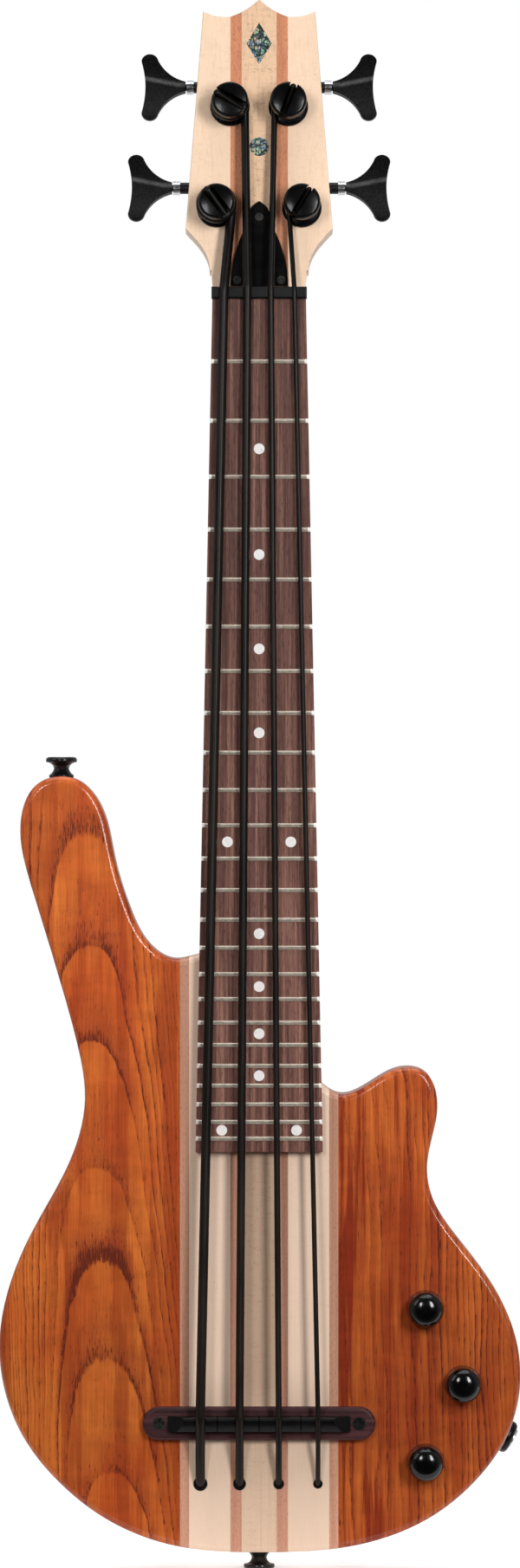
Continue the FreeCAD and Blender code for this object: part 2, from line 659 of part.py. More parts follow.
def worm():
    """Right-hand single-start worm centred on the post, a tooth space facing the wheel."""
    length = WORM_TURNS * WORM_LEAD
    helix = Part.makeHelix(WORM_LEAD, length, WORM_RADIUS)
    tip = WORM_RADIUS + TOOTH_ADDENDUM
    inner = WORM_ROOT_RADIUS - 0.3
    profile = Part.makePolygon([Vec(inner, 0, -TOOTH_BASE / 2), Vec(tip, 0, -TOOTH_TIP / 2),
                                Vec(tip, 0, TOOTH_TIP / 2), Vec(inner, 0, TOOTH_BASE / 2),
                                Vec(inner, 0, -TOOTH_BASE / 2)])
    thread = Part.Wire(helix.Edges).makePipeShell([profile], True, True)
    core = Part.makeCylinder(WORM_ROOT_RADIUS, length + TOOTH_BASE, Vec(0, 0, -TOOTH_BASE / 2))
    solid = core.fuse(thread)
    bore = Part.makeCylinder(KEY_SHAFT_RADIUS, length + 4, Vec(0, 0, -2))
    solid = solid.cut(bore)
    turn = FreeCAD.Placement(Vec(-length / 2, GEAR_PLANE, KEY_OFFSET), FreeCAD.Rotation(BACK, 90))
    solid.Placement = turn
    return solid


WORM_POCKET_HALF = WORM_TURNS * WORM_LEAD / 2 + TOOTH_BASE / 2 + 0.3
WORM_POCKET_RADIUS = WORM_RADIUS + TOOTH_ADDENDUM + MESH_CLEARANCE
GEAR_POCKET_RADIUS = GEAR_RADIUS + TOOTH_ADDENDUM + MESH_CLEARANCE
HOUSING_BACK = GEAR_PLANE + WORM_POCKET_RADIUS + HOUSING_WALL
LUG_UP = KEY_OFFSET + WORM_POCKET_RADIUS + HOUSING_WALL + HOUSING_LUG_RADIUS * 0.6


def tuner_housing():
    """Gear case that opens against the head's back, with the key's collar and a screw lug."""
    top = KEY_OFFSET + WORM_POCKET_RADIUS + HOUSING_WALL
    half = WORM_POCKET_HALF + HOUSING_WALL
    case = Part.makeCylinder(GEAR_POCKET_RADIUS + HOUSING_WALL, HOUSING_BACK - HEAD_THICKNESS,
                             Vec(0, HEAD_THICKNESS, 0), BACK)
    case = case.fuse(box((-half, half), (HEAD_THICKNESS, HOUSING_BACK), (0, top)))
    rims = [edge for edge in case.Edges
            if edge.BoundBox.YLength < 1e-3 and abs(edge.BoundBox.YMax - HOUSING_BACK) < 1e-3]
    case = case.makeFillet(1.0, rims)
    lug = Part.makeCylinder(HOUSING_LUG_RADIUS, HOUSING_LUG_THICKNESS, Vec(0, HEAD_THICKNESS, LUG_UP), BACK)
    lug_web = box((-HOUSING_LUG_RADIUS, HOUSING_LUG_RADIUS),
                  (HEAD_THICKNESS, HEAD_THICKNESS + HOUSING_LUG_THICKNESS), (top - 1, LUG_UP))
    collar = Part.makeCylinder(KEY_COLLAR_RADIUS, KEY_COLLAR_END - half + 0.5,
                               Vec(half - 0.5, GEAR_PLANE, KEY_OFFSET), RIGHT)
    case = case.fuse([lug, lug_web, collar])
    gear_pocket = Part.makeCylinder(GEAR_POCKET_RADIUS, HOUSING_BACK - HEAD_THICKNESS - HOUSING_WALL,
                                    Vec(0, HEAD_THICKNESS, 0), BACK)
    worm_pocket = box((-WORM_POCKET_HALF, WORM_POCKET_HALF),
                      (HEAD_THICKNESS, GEAR_PLANE + WORM_POCKET_RADIUS), (0, KEY_OFFSET + WORM_POCKET_RADIUS))
    shaft_bore = Part.makeCylinder(KEY_SHAFT_RADIUS + RUNNING_CLEARANCE, KEY_COLLAR_END + half,
                                   Vec(-half + 0.3, GEAR_PLANE, KEY_OFFSET), RIGHT)
    lug_hole = screw_hole(Vec(0, HEAD_THICKNESS + HOUSING_LUG_THICKNESS, LUG_UP), BACK, SMALL_SCREW)
    return case.cut([gear_pocket, worm_pocket, shaft_bore, lug_hole])


def tuner_key():
    """Two-lobed key on the shaft that carries the worm."""
    hub = KEY_HUB
    origin = Vec(hub - 2, GEAR_PLANE, KEY_OFFSET)
    lobe_x = hub + KEY_LENGTH - KEY_LOBE_RADIUS
    lobe_z = KEY_LOBE_CENTRE
    neck = KEY_NECK_HALF
    lobe_in = (lobe_x - 3.87, lobe_z + 1.0)
    lobe_top = (lobe_x - 0.7, lobe_z + 3.94)
    lobe_out = (lobe_x + 3.94, lobe_z + 0.7)
    outline = closed_wire((hub, -neck), [
        (hub, neck),
        ((hub + 6.6, 5.2), lobe_in),
        (lobe_top, lobe_out),
        ((hub + KEY_LENGTH - 1.9, 0), (lobe_out[0], -lobe_out[1])),
        ((lobe_top[0], -lobe_top[1]), (lobe_in[0], -lobe_in[1])),
        ((hub + 6.6, -5.2), (hub, -neck)),
    ], lambda across, up: Vec(across, GEAR_PLANE - KEY_HALF_THICKNESS - 1, KEY_OFFSET + up))
    plate = Part.Face(outline).extrude(BACK * 2 * (KEY_HALF_THICKNESS + 1))
    crown = Part.Ellipse(Vec(0, 0, 0), KEY_LOBE_CENTRE + KEY_LOBE_RADIUS + 1.6, KEY_HALF_THICKNESS)
    crown_face = Part.Face(Part.Wire(crown.toShape()))
    crown_solid = crown_face.extrude(UP * (KEY_LENGTH + 4))
    crown_solid.Placement = FreeCAD.Placement(origin, FreeCAD.Rotation(BACK, 90))
    key = plate.common(crown_solid)
    shaft_start = -(WORM_POCKET_HALF + HOUSING_WALL) + 0.5
    shaft = Part.makeCylinder(KEY_SHAFT_RADIUS, hub - shaft_start + 2,
                              Vec(shaft_start, GEAR_PLANE, KEY_OFFSET), RIGHT)
    return key.fuse(shaft)


def key_washers():
    """The two rings on the shaft between collar and key."""
    rings = []
    for index in range(2):
        start = KEY_COLLAR_END + RUNNING_CLEARANCE + index * (KEY_WASHER_LENGTH + RUNNING_CLEARANCE)
        ring = Part.makeCylinder(KEY_WASHER_RADIUS, KEY_WASHER_LENGTH,
                                 Vec(start, GEAR_PLANE, KEY_OFFSET), RIGHT)
        hole = Part.makeCylinder(KEY_SHAFT_RADIUS + RUNNING_CLEARANCE, KEY_WASHER_LENGTH + 2,
                                 Vec(start - 1, GEAR_PLANE, KEY_OFFSET), RIGHT)
        rings.append(ring.cut(hole))
    return rings


def tuner_bushing():
    """Flanged bush in the head that the post turns in."""
    bore = POST_SHAFT_RADIUS + RUNNING_CLEARANCE
    return post_up_axis((bore, -SLEEVE_LENGTH), [
        (SLEEVE_RADIUS, -SLEEVE_LENGTH), (SLEEVE_RADIUS, 0), (BUSHING_FLANGE_RADIUS, 0),
        (BUSHING_FLANGE_RADIUS, BUSHING_FLANGE - 0.6), (BUSHING_FLANGE_RADIUS - 0.6, BUSHING_FLANGE),
        (bore, BUSHING_FLANGE),
    ])


def post_hole():
    """Stepped hole through the head for the bush and the post's shaft."""
    return post_up_axis((0, -HEAD_THICKNESS - 1), [
        (SLEEVE_RADIUS - 0.6, -HEAD_THICKNESS - 1), (SLEEVE_RADIUS - 0.6, -SLEEVE_LENGTH),
        (SLEEVE_RADIUS, -SLEEVE_LENGTH), (SLEEVE_RADIUS, 1), (0, 1),
    ])


# ================================================================ assembly of the nodes
# ---- truss-rod cover and head inlays, in the head's frame
COVER_SCREWS = [(0.0, COVER_APEX - 7.5), (-10.3, COVER_START + 3.0), (10.3, COVER_START + 3.0)]


def truss_rod_cover():
    """Bell-shaped plate over the truss rod's nut."""
    outline = closed_wire((-COVER_HALF, COVER_START), [
        (COVER_HALF, COVER_START),
        ((COVER_HALF - 2.6, COVER_START + 17.0), (5.2, COVER_APEX - 10.0)),
        ((5.0, COVER_APEX - 6.0), (0, COVER_APEX)),
        ((-5.0, COVER_APEX - 6.0), (-5.2, COVER_APEX - 10.0)),
        ((-COVER_HALF + 2.6, COVER_START + 17.0), (-COVER_HALF, COVER_START)),
    ], lambda across, up: Vec(across, 0, up))
    plate = Part.Face(outline).extrude(FRONT * COVER_THICKNESS)
    return on_head(plate).cut(cover_screws(screw_hole))


def cover_screws(maker):
    return [on_head(maker(Vec(across, -COVER_THICKNESS, up), FRONT, SMALL_SCREW))
            for across, up in COVER_SCREWS]


def head_inlays():
    """Plain lozenge and plain dot of shell let into the head's face."""
    half_width, half_height, up = HEAD_LOZENGE
    lowest = Vec(0, 0, up - half_height)
    lozenge = Part.makePolygon([lowest, Vec(half_width, 0, up), Vec(0, 0, up + half_height),
                                Vec(-half_width, 0, up), lowest])
    lozenge_solid = Part.Face(lozenge).extrude(BACK * INLAY_DEPTH)
    radius, dot_up = HEAD_DOT
    dot = Part.makeCylinder(radius, INLAY_DEPTH, Vec(0, 0, dot_up), BACK)
    return [on_head(lozenge_solid), on_head(dot)]


# ---- bridge
BRIDGE_CENTRE_Z = BRIDGE_Z - BRIDGE_BEHIND_CREST
SADDLE_FRONT_Z = BRIDGE_CENTRE_Z + SADDLE_WIDTH / 2
SADDLE_BACK_Z = BRIDGE_CENTRE_Z - SADDLE_WIDTH / 2
SADDLE_FOOT_Y = -(SADDLE_SLOT_FLOOR + PICKUP_THICKNESS)
SADDLE_CREST_Y = -(STRING_FLOOR_AT_SADDLE + SADDLE_NOTCH)
SADDLE_FIT = 0.1


def bridge_screws(maker):
    return [maker(Vec(side * BRIDGE_SCREW_X, -BRIDGE_HEIGHT, BRIDGE_CENTRE_Z), FRONT, BIG_SCREW)
            for side in (-1, 1)]


def bridge_base():
    """Stadium-shaped bar with a slot for the saddles."""
    half = BRIDGE_LENGTH / 2 - BRIDGE_WIDTH / 2
    low = BRIDGE_CENTRE_Z - BRIDGE_WIDTH / 2
    high = BRIDGE_CENTRE_Z + BRIDGE_WIDTH / 2
    outline = closed_wire((-half, low), [
        (half, low), ((half + BRIDGE_WIDTH / 2, BRIDGE_CENTRE_Z), (half, high)),
        (-half, high), ((-half - BRIDGE_WIDTH / 2, BRIDGE_CENTRE_Z), (-half, low)),
    ], lambda across, up: Vec(across, 0, up))
    bar = Part.Face(outline).extrude(FRONT * BRIDGE_HEIGHT)
    rim = [edge for edge in bar.Edges
           if edge.BoundBox.YLength < 1e-3 and edge.BoundBox.YMax < -BRIDGE_HEIGHT / 2]
    bar = bar.makeFillet(BRIDGE_EDGE_ROUND, rim)
    slot = box((-SADDLE_HALF_LENGTH - SADDLE_FIT, SADDLE_HALF_LENGTH + SADDLE_FIT),
               (-SADDLE_SLOT_FLOOR, -BRIDGE_HEIGHT - 1),
               (SADDLE_BACK_Z - SADDLE_FIT, SADDLE_FRONT_Z + SADDLE_FIT))
    return bar.cut([slot] + bridge_screws(screw_hole))


def saddle_blocks():
    """Four saddles, one under each string, notched for it; the outer two taper at their ends."""
    profile = closed_wire((SADDLE_BACK_Z, SADDLE_FOOT_Y), [
        (SADDLE_FRONT_Z, SADDLE_FOOT_Y),
        (SADDLE_FRONT_Z, SADDLE_CREST_Y + 2.2),
        ((BRIDGE_Z + 0.4, SADDLE_CREST_Y + 0.5), (BRIDGE_Z - 0.6, SADDLE_CREST_Y)),
        ((BRIDGE_Z - 3.0, SADDLE_CREST_Y + 0.7), (SADDLE_BACK_Z, SADDLE_CREST_Y + 2.6)),
    ], lambda along, y: Vec(-SADDLE_HALF_LENGTH, y, along))
    bar = Part.Face(profile).extrude(RIGHT * 2 * SADDLE_HALF_LENGTH)
    for side in (-1, 1):
        end = side * SADDLE_HALF_LENGTH
        taper_start = Vec(end - side * SADDLE_END_TAPER, SADDLE_CREST_Y - 1, SADDLE_BACK_Z - 1)
        wedge = Part.makePolygon([taper_start, Vec(end + side, SADDLE_CREST_Y - 1, SADDLE_BACK_Z - 1),
                                  Vec(end + side, -BRIDGE_HEIGHT - SADDLE_END_HEIGHT, SADDLE_BACK_Z - 1),
                                  taper_start])
        bar = bar.cut(Part.Face(wedge).extrude(UP * (SADDLE_WIDTH + 2)))
    edges = [-SADDLE_HALF_LENGTH] + list(SADDLE_SPLITS) + [SADDLE_HALF_LENGTH]
    blocks = []
    for name, low, high in zip(STRING_NAMES, edges, edges[1:]):
        start = low + (SADDLE_GAP / 2 if low in SADDLE_SPLITS else 0)
        end = high - (SADDLE_GAP / 2 if high in SADDLE_SPLITS else 0)
        span = box((start, end), (0, SADDLE_CREST_Y - 2), (SADDLE_BACK_Z - 1, SADDLE_FRONT_Z + 1))
        blocks.append(bar.common(span).cut(string_solid(name, STRING_SEAT_CLEARANCE)))
    return blocks


def pickup_elements():
    """Thin piezo strip under each saddle."""
    edges = [-SADDLE_HALF_LENGTH] + list(SADDLE_SPLITS) + [SADDLE_HALF_LENGTH]
    return [box((low + SADDLE_GAP, high - SADDLE_GAP), (-SADDLE_SLOT_FLOOR, SADDLE_FOOT_Y),
                (SADDLE_BACK_Z + 1, SADDLE_FRONT_Z - 1)) for low, high in zip(edges, edges[1:])]


# ---- string ferrules
def string_ferrules():
    """Bush at the front and knot cup at the back of every string hole."""
    pieces = []
    for name in STRING_NAMES:
        across = string_across(name, BRIDGE_SPACING)
        hole_z = BRIDGE_Z - STRING_HOLE_DROP
        clear = string_solid(name, STRING_HOLE_CLEARANCE)
        outer = string_radius(name) + STRING_HOLE_CLEARANCE + BUSHING_WALL
        bush = Part.makeCylinder(outer, BUSHING_LENGTH + BUSHING_PROUD,
                                 Vec(across, -BUSHING_PROUD, hole_z), BACK)
        pieces.append(bush.cut(clear))
        floor_y = BODY_THICKNESS - FERRULE_DEPTH
        cup = Part.makeCylinder(FERRULE_RADIUS, FERRULE_DEPTH, Vec(across, floor_y, hole_z), BACK)
        hollow = Part.makeCylinder(FERRULE_RADIUS - FERRULE_WALL, FERRULE_DEPTH,
                                   Vec(across, floor_y + FERRULE_FLOOR, hole_z), BACK)
        pieces.append(cup.cut([hollow, clear]))
    return pieces


def string_hole_cuts():
    """Spaces in the body for the strings, their bushes and their cups."""
    cuts = []
    for name in STRING_NAMES:
        across = string_across(name, BRIDGE_SPACING)
        hole_z = BRIDGE_Z - STRING_HOLE_DROP
        outer = string_radius(name) + STRING_HOLE_CLEARANCE + BUSHING_WALL
        cuts.append(Part.makeCylinder(outer, BUSHING_LENGTH, Vec(across, 0, hole_z), BACK))
        cuts.append(Part.makeCylinder(FERRULE_RADIUS, FERRULE_DEPTH + 1,
                                      Vec(across, BODY_THICKNESS - FERRULE_DEPTH, hole_z), BACK))
        cuts.append(Part.makeCylinder(string_radius(name) + STRING_HOLE_CLEARANCE, BODY_THICKNESS,
                                      Vec(across, BUSHING_LENGTH / 2, hole_z), BACK))
    return cuts


# ---- controls
def pot_axis(name, y):
    across, height = KNOB_PLACES[name]
    return body_point(across, height, y)


def knob(name):
    """Domed control knob, hollow underneath to clear the nut."""
    top = KNOB_HEIGHT
    origin = pot_axis(name, -KNOB_GAP)
    dome = turned((0, 0), [
        (KNOB_RADIUS - 0.3, 0), (KNOB_RADIUS, 0.5), (KNOB_RADIUS - 0.7, top - 5.0),
        ((KNOB_RADIUS - 2.2, top - 1.9), (KNOB_RADIUS * 0.45, top - 0.4)),
        ((KNOB_RADIUS * 0.3, top - 0.1), (KNOB_RADIUS * 0.12, top)), (0, top),
    ], origin, FRONT)
    recess = Part.makeCylinder(KNOB_RECESS_RADIUS, KNOB_RECESS, origin, FRONT)
    bore = Part.makeCylinder(POT_SHAFT_RADIUS, top - KNOB_CROWN, origin, FRONT)
    return dome.cut([recess, bore])


def pot_shaft(name):
    """Control shaft from inside its pot up into the knob."""
    foot = pot_axis(name, CAVITY_FRONT_WALL + POT_CASE_HEIGHT - 2.0)
    end_y = KNOB_GAP + KNOB_HEIGHT - KNOB_CROWN
    return Part.makeCylinder(POT_SHAFT_RADIUS, foot.y + end_y, foot, FRONT)


def pot_case(name):
    """Pot body with its threaded bush."""
    case = Part.makeCylinder(POT_CASE_RADIUS, POT_CASE_HEIGHT, pot_axis(name, CAVITY_FRONT_WALL), BACK)
    bush = Part.makeCylinder(POT_BUSHING_RADIUS, CAVITY_FRONT_WALL + POT_NUT_HEIGHT + 0.6,
                             pot_axis(name, CAVITY_FRONT_WALL), FRONT)
    bore_depth = CAVITY_FRONT_WALL + POT_CASE_HEIGHT - 1.8
    bore = Part.makeCylinder(POT_SHAFT_RADIUS + RUNNING_CLEARANCE, bore_depth + 10,
                             pot_axis(name, bore_depth), FRONT)
    return case.fuse(bush).cut(bore)


def pot_nut(name):
    """Hexagon nut that clamps the pot to the face."""
    centre = pot_axis(name, 0)
    corners = [centre + Vec(math.cos(step * math.pi / 3), 0, math.sin(step * math.pi / 3)) * POT_NUT_RADIUS
               for step in range(6)]
    prism = Part.Face(Part.makePolygon(corners + corners[:1])).extrude(FRONT * POT_NUT_HEIGHT)
    bore = Part.makeCylinder(POT_BUSHING_RADIUS, POT_NUT_HEIGHT + 2, centre + BACK, FRONT)
    return prism.cut(bore)


def cavity_wire(margin, y):
    """Rounded outline of the control cavity, grown by margin, at depth y."""
    wire = rounded_polygon(CAVITY_CORNERS, CAVITY_CORNER_RADIUS,
                           lambda across, height: body_point(across, height, y))
    return wire.makeOffset2D(margin) if margin else wire


def cavity_cut():
    """Control cavity with the stepped seat for its cover."""
    hollow = Part.Face(cavity_wire(0, CAVITY_FRONT_WALL)).extrude(BACK * BODY_THICKNESS)
    seat = Part.Face(cavity_wire(COVER_PLATE_MARGIN, BODY_THICKNESS - COVER_PLATE_THICKNESS))
    return [hollow, seat.extrude(BACK * BODY_THICKNESS)]


def rim_place(side, share):
    """Place on the cover's rim, midway between its edge and a side of the cavity."""
    start = CAVITY_CORNERS[side]
    end = CAVITY_CORNERS[(side + 1) % len(CAVITY_CORNERS)]
    along = Vec(end[0] - start[0], 0, end[1] - start[1])
    outward = Vec(along.z, 0, -along.x).normalize() * (COVER_PLATE_MARGIN / 2)
    spot = along * share + outward
    return start[0] + spot.x, start[1] + spot.z


def control_cover_screws(maker):
    """Screws round the cover, in the rim that lies on the body."""
    places = [rim_place(side, share) for side, share in COVER_PLATE_SCREWS]
    return [maker(body_point(across, height, BODY_THICKNESS), BACK, COVER_PLATE_SCREW)
            for across, height in places]


def control_cover():
    """Flush cover plate of the control cavity."""
    plate = Part.Face(cavity_wire(COVER_PLATE_MARGIN - COVER_PLATE_FIT,
                                  BODY_THICKNESS - COVER_PLATE_THICKNESS))
    return plate.extrude(BACK * COVER_PLATE_THICKNESS).cut(control_cover_screws(screw_hole))


BOARD_FRONT_Y = CAVITY_FRONT_WALL + POT_CASE_HEIGHT


def preamp_board():
    """Circuit board on the backs of the pots, with a chip and a tall capacitor."""
    back = BOARD_FRONT_Y + BOARD_PLATE_THICKNESS
    low = body_point(BOARD_PLATE_LOW[0], BOARD_PLATE_LOW[1], back)
    top = body_point(BOARD_PLATE_LOW[0], BOARD_PLATE_TOP, back)
    edge = pot_axis("bass", back).x - POT_CASE_RADIUS + BOARD_POT_LAP
    plate = box((low.x, edge), (BOARD_FRONT_Y, back), (low.z, top.z))
    chip = Part.makeBox(CHIP_SIZE[0], CHIP_SIZE[1], CHIP_SIZE[2], low + Vec(CHIP_INSET[0], 0, CHIP_INSET[1]))
    capacitor = Part.makeCylinder(CAPACITOR_RADIUS, CAPACITOR_HEIGHT,
                                  low + Vec(CAPACITOR_INSET[0], 0, CAPACITOR_INSET[1]), BACK)
    return plate.fuse([chip, capacitor])


def battery():
    """Nine-volt block with its two snap terminals."""
    width, depth, height = BATTERY_SIZE
    front = BOARD_FRONT_Y + BOARD_PLATE_THICKNESS + BATTERY_GAP
    corner = body_point(BATTERY_CORNER[0], BATTERY_CORNER[1], front)
    block = Part.makeBox(width, depth, height, corner)
    block = block.makeFillet(BATTERY_EDGE_ROUND,
                             [edge for edge in block.Edges if edge.BoundBox.ZLength > height / 2])
    terminals = [Part.makeCylinder(TERMINAL_RADIUS, TERMINAL_HEIGHT,
                                   corner + Vec(width / 2 + side * TERMINAL_HALF_SPACING, depth / 2, 0), DOWN)
                 for side in (-1, 1)]
    return block.fuse(terminals)


JACK_SEAT = body_point(JACK_PLACE[0], JACK_PLACE[1], JACK_Y)
JACK_BARREL_OUT = JACK_NUT_HEIGHT + 0.8


def jack_barrel():
    """Closed barrel of the output socket."""
    return turned((0, -JACK_BARREL_LENGTH), [
        (JACK_BARREL_RADIUS, -JACK_BARREL_LENGTH), (JACK_BARREL_RADIUS, JACK_BARREL_OUT - 0.4),
        (JACK_BARREL_RADIUS - 0.4, JACK_BARREL_OUT), (JACK_BORE_RADIUS, JACK_BARREL_OUT),
        (JACK_BORE_RADIUS, -JACK_BARREL_LENGTH + 2.0), (0, -JACK_BARREL_LENGTH + 2.0),
    ], JACK_SEAT, JACK_DIRECTION)


def jack_nut():
    """Domed ring nut of the output socket."""
    return turned((JACK_BARREL_RADIUS, 0), [
        (JACK_NUT_RADIUS, 0), (JACK_NUT_RADIUS, 0.8),
        ((JACK_NUT_RADIUS - 0.6, JACK_NUT_HEIGHT - 0.8), (JACK_BARREL_RADIUS + 0.6, JACK_NUT_HEIGHT)),
        (JACK_BARREL_RADIUS, JACK_NUT_HEIGHT),
    ], JACK_SEAT, JACK_DIRECTION)


def jack_cuts():
    """Barrel hole and flat spot for the nut."""
    foot = JACK_SEAT - JACK_DIRECTION * JACK_BARREL_LENGTH
    hole = Part.makeCylinder(JACK_BARREL_RADIUS, JACK_BARREL_LENGTH + JACK_CUT_REACH, foot, JACK_DIRECTION)
    spot = Part.makeCylinder(JACK_NUT_RADIUS + JACK_SPOT_MARGIN, JACK_CUT_REACH, JACK_SEAT, JACK_DIRECTION)
    return [hole, spot]


# ---- strap buttons
BUTTONS = [
    (body_point(-93.0, 363.9 - BUTTON_SEAT_DEPTH, BODY_MID_Y), UP),
    (body_point(0.0, BUTTON_SEAT_DEPTH, BODY_MID_Y), DOWN),
]


def strap_button(origin, axis):
    """Waisted button with a wide cap, countersunk for its screw."""
    base = BUTTON_BASE_RADIUS
    cap = BUTTON_CAP_RADIUS
    shank = BUTTON_SHANK_RADIUS
    full = turned((0, 0), [
        (base, 0), (base, 1.2), ((shank + 0.9, 2.4), (shank, 4.2)),
        ((shank + 0.8, 6.0), (cap, 7.2)), ((cap + 0.35, 8.2), (cap - 1.0, BUTTON_HEIGHT)), (0, BUTTON_HEIGHT),
    ], origin, axis)
    return full.cut(button_screw(origin, axis, screw_hole))


def button_screw(origin, axis, maker):
    return maker(origin + axis * BUTTON_HEIGHT, axis, BIG_SCREW)


def button_seat(origin, axis):
    return Part.makeCylinder(BUTTON_BASE_RADIUS + 0.3, 6.0, origin, axis)


# ================================================================ build
woodwork = body_solid().fuse([neck_solid(), head_solid()])

rod_channel = box((-ROD_CHANNEL_HALF, ROD_CHANNEL_HALF), (0, ROD_CHANNEL_DEPTH), (ROD_FOOT_Z, NUT_LENGTH))
rod_pocket = box((-POCKET_HALF, POCKET_HALF), (-2, POCKET_DEPTH), (NUT_LENGTH, POCKET_END))
wood_cuts = [rod_channel, rod_pocket]
wood_cuts += [on_post(post_hole(), name, False) for name in STRING_NAMES]
housing_screws = [on_post(screw(Vec(0, HEAD_THICKNESS + HOUSING_LUG_THICKNESS, LUG_UP), BACK, SMALL_SCREW),
                          name, False) for name in STRING_NAMES]
wood_cuts += [on_post(screw_hole(Vec(0, HEAD_THICKNESS + HOUSING_LUG_THICKNESS, LUG_UP), BACK, SMALL_SCREW),
                      name, False) for name in STRING_NAMES]
inlays = head_inlays()
wood_cuts += inlays
wood_cuts += cover_screws(screw_hole)
wood_cuts += bridge_screws(screw_hole)
wood_cuts += string_hole_cuts()
wood_cuts += cavity_cut()
wood_cuts += [Part.makeCylinder(POT_BUSHING_RADIUS, CAVITY_FRONT_WALL + 2, pot_axis(name, -1), BACK)
              for name in KNOB_PLACES]
wood_cuts += control_cover_screws(screw_hole)
wood_cuts += jack_cuts()
wood_cuts += [button_seat(origin, axis) for origin, axis in BUTTONS]
wood_cuts += [button_screw(origin, axis, screw_hole) for origin, axis in BUTTONS]
for cut in wood_cuts:
    woodwork = woodwork.cut(cut)
print("woodwork", len(woodwork.Solids), "solids", "valid" if woodwork.isValid() else "NOT VALID")

FAR = 2000.0


def lamination(side, inner, outer, head_outer):
    """Woodwork between two half-widths on one side; the head may be given its own outer limit."""
    region = box((side * inner, side * outer), (-FAR, FAR), (-FAR, NUT_LENGTH))
    if head_outer > inner:
        region = region.fuse(box((side * inner, side * head_outer), (-FAR, FAR), (0, FAR)))
    return woodwork.common(region)


SIDES = (-1, 1)
save("body_wing_bass", lamination(-1, OUTER_STRIPE_OUTER, FAR, 0))
save("body_wing_treble", lamination(1, OUTER_STRIPE_OUTER, FAR, 0))
save("lamination_centre", woodwork.common(
    box((-CENTRE_LAMINATION_HALF, CENTRE_LAMINATION_HALF), (-FAR, FAR), (-FAR, FAR))))
save("stripes_inner", [lamination(side, CENTRE_LAMINATION_HALF, INNER_STRIPE_OUTER, INNER_STRIPE_OUTER)
                       for side in SIDES])
save("laminations_outer", [lamination(side, INNER_STRIPE_OUTER, OUTER_LAMINATION_OUTER, FAR)
                           for side in SIDES])
save("stripes_outer", [lamination(side, OUTER_LAMINATION_OUTER, OUTER_STRIPE_OUTER, 0) for side in SIDES])
save("head_inlays", inlays)


# ---- fretboard, frets and markers
def board_outline(y, inset):
    """Tapered outline of the fretboard at height y, drawn in from its long edges by inset."""
    near = board_half_width(0) - inset
    far = board_half_width(BOARD_LENGTH) - inset
    return Part.makePolygon([Vec(-near, y, 0), Vec(near, y, 0), Vec(far, y, -BOARD_LENGTH),
                             Vec(-far, y, -BOARD_LENGTH), Vec(-near, y, 0)])


def marker_dots():
    """Inlaid dots halfway between frets."""
    places = [(0.0, fret) for fret in SINGLE_MARKER_FRETS]
    for fret, half_spacing in DOUBLE_MARKERS.items():
        places += [(-half_spacing, fret), (half_spacing, fret)]
    dots = []
    for across, fret in places:
        z = -(fret_distance(fret) + fret_distance(fret - 1)) / 2
        dots.append(Part.makeCylinder(MARKER_RADIUS, MARKER_DEPTH, Vec(across, -BOARD_THICKNESS, z), BACK))
    return dots


def fret_wire(fret):
    """Crown and tang of one fret, across the whole board."""
    z = -fret_distance(fret)
    half = board_half_width(fret_distance(fret)) + 5
    crown = Part.makeCylinder(FRET_CROWN, 2 * half, Vec(-half, -BOARD_THICKNESS, z), RIGHT)
    crown = crown.common(box((-half, half), (-BOARD_THICKNESS, -BOARD_THICKNESS - 5), (z - 5, z + 5)))
    tang = box((-half, half), (-BOARD_THICKNESS, -BOARD_THICKNESS + FRET_TANG_DEPTH),
               (z - FRET_TANG_WIDTH / 2, z + FRET_TANG_WIDTH / 2))
    return crown.fuse(tang)


fret_envelope = Part.makeLoft([board_outline(0, 0.0), board_outline(-BOARD_THICKNESS, 0.0)], True, True).fuse(
    Part.makeLoft([board_outline(-BOARD_THICKNESS, 0.0),
                   board_outline(-BOARD_THICKNESS - FRET_CROWN - 0.2, FRET_END_BEVEL)], True, True))
frets = [fret_wire(fret).common(fret_envelope) for fret in range(1, FRET_COUNT + 1)]
board = Part.Face(board_outline(0, 0.0)).extrude(FRONT * BOARD_THICKNESS)
board = board.makeFillet(BOARD_EDGE_ROUND, [edge for edge in board.Edges
                                            if edge.BoundBox.YMax < -BOARD_THICKNESS / 2
                                            and edge.BoundBox.ZLength > BOARD_LENGTH / 2])
dots = marker_dots()
save("fretboard", board.cut(dots + frets))
save("frets", frets)
save("fret_markers", dots)

nut_block = box((-NUT_HALF, NUT_HALF), (0, -NUT_TOP), (0, NUT_LENGTH))
nut_block = nut_block.makeFillet(0.8, [edge for edge in nut_block.Edges
                                       if edge.BoundBox.YMax < -NUT_TOP / 2 and edge.BoundBox.YLength < 1e-3])
save("nut", nut_block.cut([string_solid(name, STRING_SEAT_CLEARANCE) for name in STRING_NAMES]))

